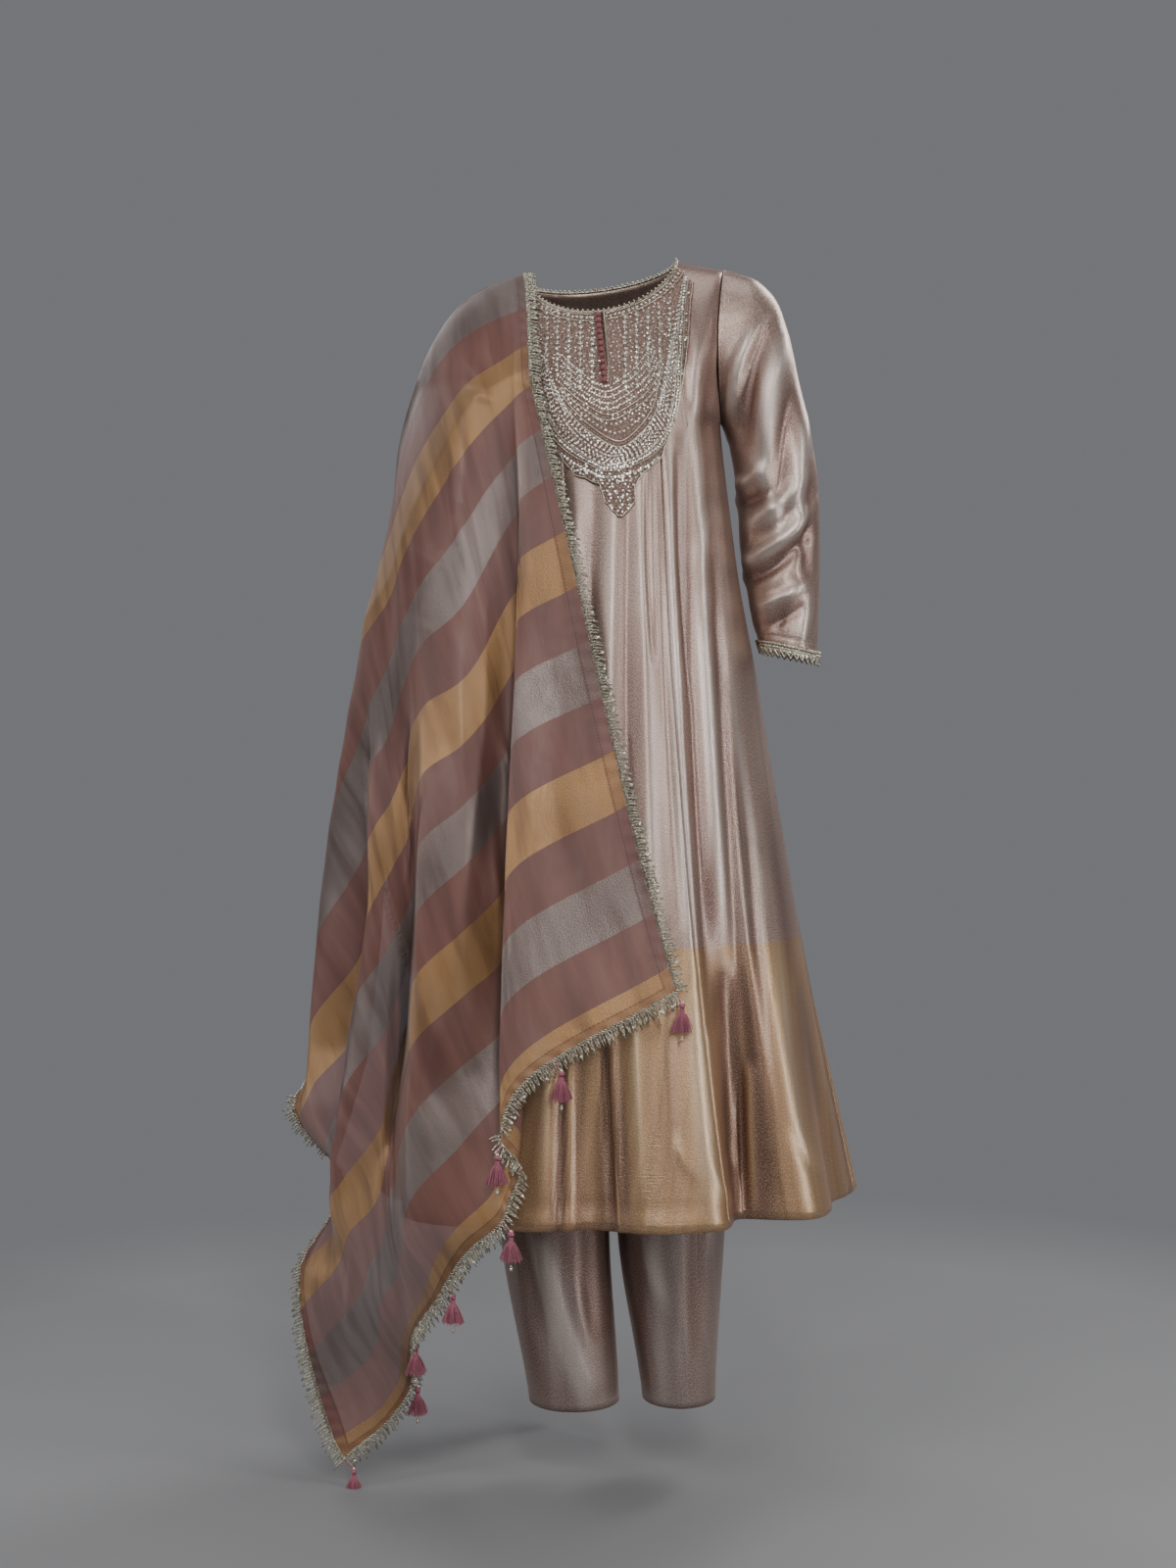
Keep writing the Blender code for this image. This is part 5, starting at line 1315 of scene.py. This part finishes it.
def fringe(name, edge, inside, node):
    """Twisted loops of metal thread off a corded heading, with a sequin here and there."""
    here, out, ahead, off = trim_frames(edge, inside, 0.0036)
    k = np.arange(len(here))

    def varied(step, start=0):
        return noise1(k * step + start)[:, None, None]
    long = 0.0150 * (0.90 + 0.14 * varied(1.7, len(here)))
    q = np.linspace(0, 1, 13)[None, :, None]
    far = 1 - abs(2 * q - 1)
    turn = far * (2.6 + 0.6 * varied(0.9)) * math.pi + (k * 1.3)[:, None, None]
    wide = 0.00145 * np.cos(math.pi * q) * (0.6 + 0.6 * far)
    lean, lift = 0.15 * varied(2.3) * far ** 1.5, 0.12 * varied(3.1, 5) * far ** 1.5
    path = (here[:, None] + out[:, None] * long * far
            + ahead[:, None] * (wide * np.cos(turn) + lean * long)
            + off[:, None] * (wide * np.sin(turn) + lift * long)
            + np.array([0, 0, -1.0]) * long * 0.30 * far ** 2)
    parts = [tubes(path, 0.00082)]
    cord, cord_out, _, cord_off = trim_frames(edge, inside, 0.0013)
    spin = (np.arange(len(cord)) * 2 * math.pi / 6.0)[:, None]
    for phase in (0, math.pi):
        parts.append(tubes((cord + cord_out * (0.0006 + 0.0016 * np.cos(spin + phase))
                            + cord_off * 0.0014 * np.sin(spin + phase))[None], 0.0009, 4))
    some = k[noise1(k * 5.3) > 0.35]
    tip = path[some, 6] * 0.5 + path[some, 3] * 0.5
    face = off[some] + 0.5 * stack(*[noise1(some * step) for step in (1.1, 1.9, 2.7)])
    parts.append(discs(tip + off[some] * 0.0008, face, 0.0019))
    add_mesh(name, *join(*parts), SILVER, (node,))


def dupatta():
    for front, word, rows, cols in ((True, "front", 215, 290), (False, "back", 150, 220)):
        points, normals, uv, painted_light = dupatta_grid(front, rows, cols)
        obj = shell(f"dupatta_{word}_cloth", points, normals, uv, ORGANZA, f"dupatta_{word}", painted_light)
        edges = (("inner", points[1:, 0], points[1:, 6]), ("outer", points[1:, -1], points[1:, -7]),
                 ("end", points[-1], points[-6]))
        for part, edge, inside in edges:
            fringe(f"fringe_{word}_{part}_loops", edge, inside, f"fringe_{word}_{part}")


TASSEL_PLACES = (0.0, 0.112, 0.250, 0.386, 0.514, 0.643, 0.771, 0.900)


def tassel(node, surface, place, even_place, number):
    """A knot, a wrapped neck, a skirt of floss and a bead drop at a hanging point of an end."""
    low, high = [np.array(v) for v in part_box(node)]
    edge = surface(1.0, place)
    top = np.array([(low[0] + high[0]) / 2, (low[1] + high[1]) / 2, high[2] + 0.018])
    top = top + edge - surface(1.0, even_place)
    u = np.linspace(0, 1, 7)[:, None]
    cord = edge * (1 - u) + top * u - np.array([0, 0, 0.003]) * np.sin(math.pi * u)
    strands = 110
    n = np.arange(strands)[:, None]
    ring = n * 2.39996                          # the golden angle spreads them evenly
    spread = np.sqrt((n + 0.5) / strands)
    q = np.linspace(0, 1, 6)
    skirt = 0.024 + 0.002 * noise1(n * 1.7 + number)
    flare = 0.0018 * spread + 0.0120 * spread * q ** 0.7 + 0.0012 * noise1(n * 2.1) * q
    floss = top + stack(flare * np.cos(ring), flare * np.sin(ring),
                        -0.0105 - skirt * q * (1 - 0.07 * spread ** 2))
    wrap = np.linspace(0, 10 * math.pi, 61)
    wrap = top + stack(0.0024 * np.cos(wrap), 0.0024 * np.sin(wrap),
                       -0.0070 - 0.0040 * wrap / wrap[-1])
    add_mesh(f"{node}_floss", *join(
        tubes(cord[None], 0.0009, 5), tubes(floss, np.linspace(0.00055, 0.00040, 6)),
        balls([top - (0, 0, 0.0035)], 0.0040, (1, 1, 0.9)), tubes(wrap[None], 0.0006, 4)),
        TASSEL, (node,))
    beads = ((0.0005, 0.0026, 1), (0.0400, 0.0017, 1), (0.0432, 0.0022, 1.3))
    add_mesh(f"{node}_drop", *join(*[balls([top - (0, 0, down)], size, (1, 1, tall))
                                     for down, size, tall in beads]), BEAD)


def tassels():
    for word, surface in (("front", dupatta_front), ("back", dupatta_back)):
        for number, place in enumerate(TASSEL_PLACES):
            tassel(f"tassel_{word}_{number + 1}", surface, place,
                   DUPATTA_WIDTH * number / (len(TASSEL_PLACES) - 1), number)


# ---------------------------------------------------------------- camera, light and ground
def emit(name, place, aim, size, power, colour=(1, 1, 1)):
    """An area light, size wide and high."""
    light = bpy.data.lights.new(name, "AREA")
    light.energy, light.color = power, colour
    light.shape, light.size, light.size_y = "RECTANGLE", *size
    obj = bpy.data.objects.new(name, light)
    bpy.context.scene.collection.objects.link(obj)
    obj.location = place
    obj.rotation_euler = (Vector(aim) - Vector(place)).to_track_quat("-Z", "Y").to_euler()


def ground():
    """A round floor that fades out towards its rim."""
    reach, angle = np.linspace(0, 1.9, 20)[:, None], turns(96)
    rings = stack(reach * np.cos(angle), reach * np.sin(angle), -1.486)
    i, j = cells(19, 96)
    k = (j + 1) % 96
    mesh = bpy.data.meshes.new("floor")
    mesh.from_pydata(rings.reshape(-1, 3).tolist(), [],
                     stack(i * 96 + j, (i + 1) * 96 + j, (i + 1) * 96 + k, i * 96 + k).tolist())
    floor = bpy.data.objects.new("floor", mesh)
    bpy.context.scene.collection.objects.link(floor)
    look = Look("floor", Roughness=0.7)
    place = look.node("TexCoord").outputs["Object"]
    look.set("Base Color", look.ramp(look.grain(place, 2.0), (0.3, (0.262, 0.264, 0.270)),
                                     (0.7, (0.275, 0.277, 0.283))))
    far = look.node("VectorMath", place, operation="LENGTH").outputs["Value"]
    look.set("Alpha", look.ramp(look.times(far, 0.4), (0.76, 1), (0.90, 0)))
    mesh.materials.append(look.mat)


def studio():
    scene = bpy.context.scene
    lens = bpy.data.cameras.new("camera")
    lens.lens, lens.sensor_fit, lens.sensor_height, lens.sensor_width = 54, "VERTICAL", 36, 36
    camera = bpy.data.objects.new("camera", lens)
    camera.location = (-0.03, -2.88, -0.51)
    camera.rotation_euler = (math.radians(90 - 2.386), 0, 0)
    scene.collection.objects.link(camera)
    scene.camera = camera
    ground()
    world = bpy.data.worlds.new("room")
    world.use_nodes = True
    nodes, links = world.node_tree.nodes, world.node_tree.links
    way = nodes.new("ShaderNodeSeparateXYZ")
    links.new(nodes.new("ShaderNodeTexCoord").outputs["Generated"], way.inputs[0])
    shade = nodes.new("ShaderNodeValToRGB")
    for stop, place, colour in zip(shade.color_ramp.elements, (0.0, 0.6),
                                   ((0.120, 0.122, 0.130, 1), (0.176, 0.178, 0.190, 1))):
        stop.position, stop.color = place, colour
    links.new(way.outputs[1], shade.inputs[0])
    links.new(shade.outputs[0], nodes["Background"].inputs["Color"])
    scene.world = world
    emit("key", (0.35, -3.2, 0.8), (0.05, 0, -0.5), (0.5, 2.2), 46, (1, 0.98, 0.96))
    emit("soft", (-1.7, -2.6, 1.2), (0, 0, -0.5), (1.2, 1.8), 26, (1, 0.98, 0.96))
    emit("strip_left", (-2.1, -0.9, -0.3), (0, 0, -0.6), (0.25, 2.4), 12, (0.96, 0.98, 1))
    emit("strip_right", (2.1, -1.3, -0.3), (0, 0, -0.6), (0.22, 2.4), 24, (1, 0.99, 0.97))
    emit("overhead", (0, -0.3, 2.2), (0, 0, -0.4), (1.8, 1.8), 16)
    emit("rim_left", (-1.4, 1.5, 1.0), (0, 0, -0.4), (0.7, 1.6), 10)
    emit("rim_right", (1.4, 1.5, 1.0), (0, 0, -0.4), (0.7, 1.6), 30)


studio()
kurta()
yoke()
yoke_work()
neck_edge()
buttons()
sleeve("left", LEFT_SLEEVE, "cuff_trim_left", 4.0)
sleeve("right", RIGHT_SLEEVE, "cuff_trim_right", 5.0)
trousers()
dupatta()
tassels()
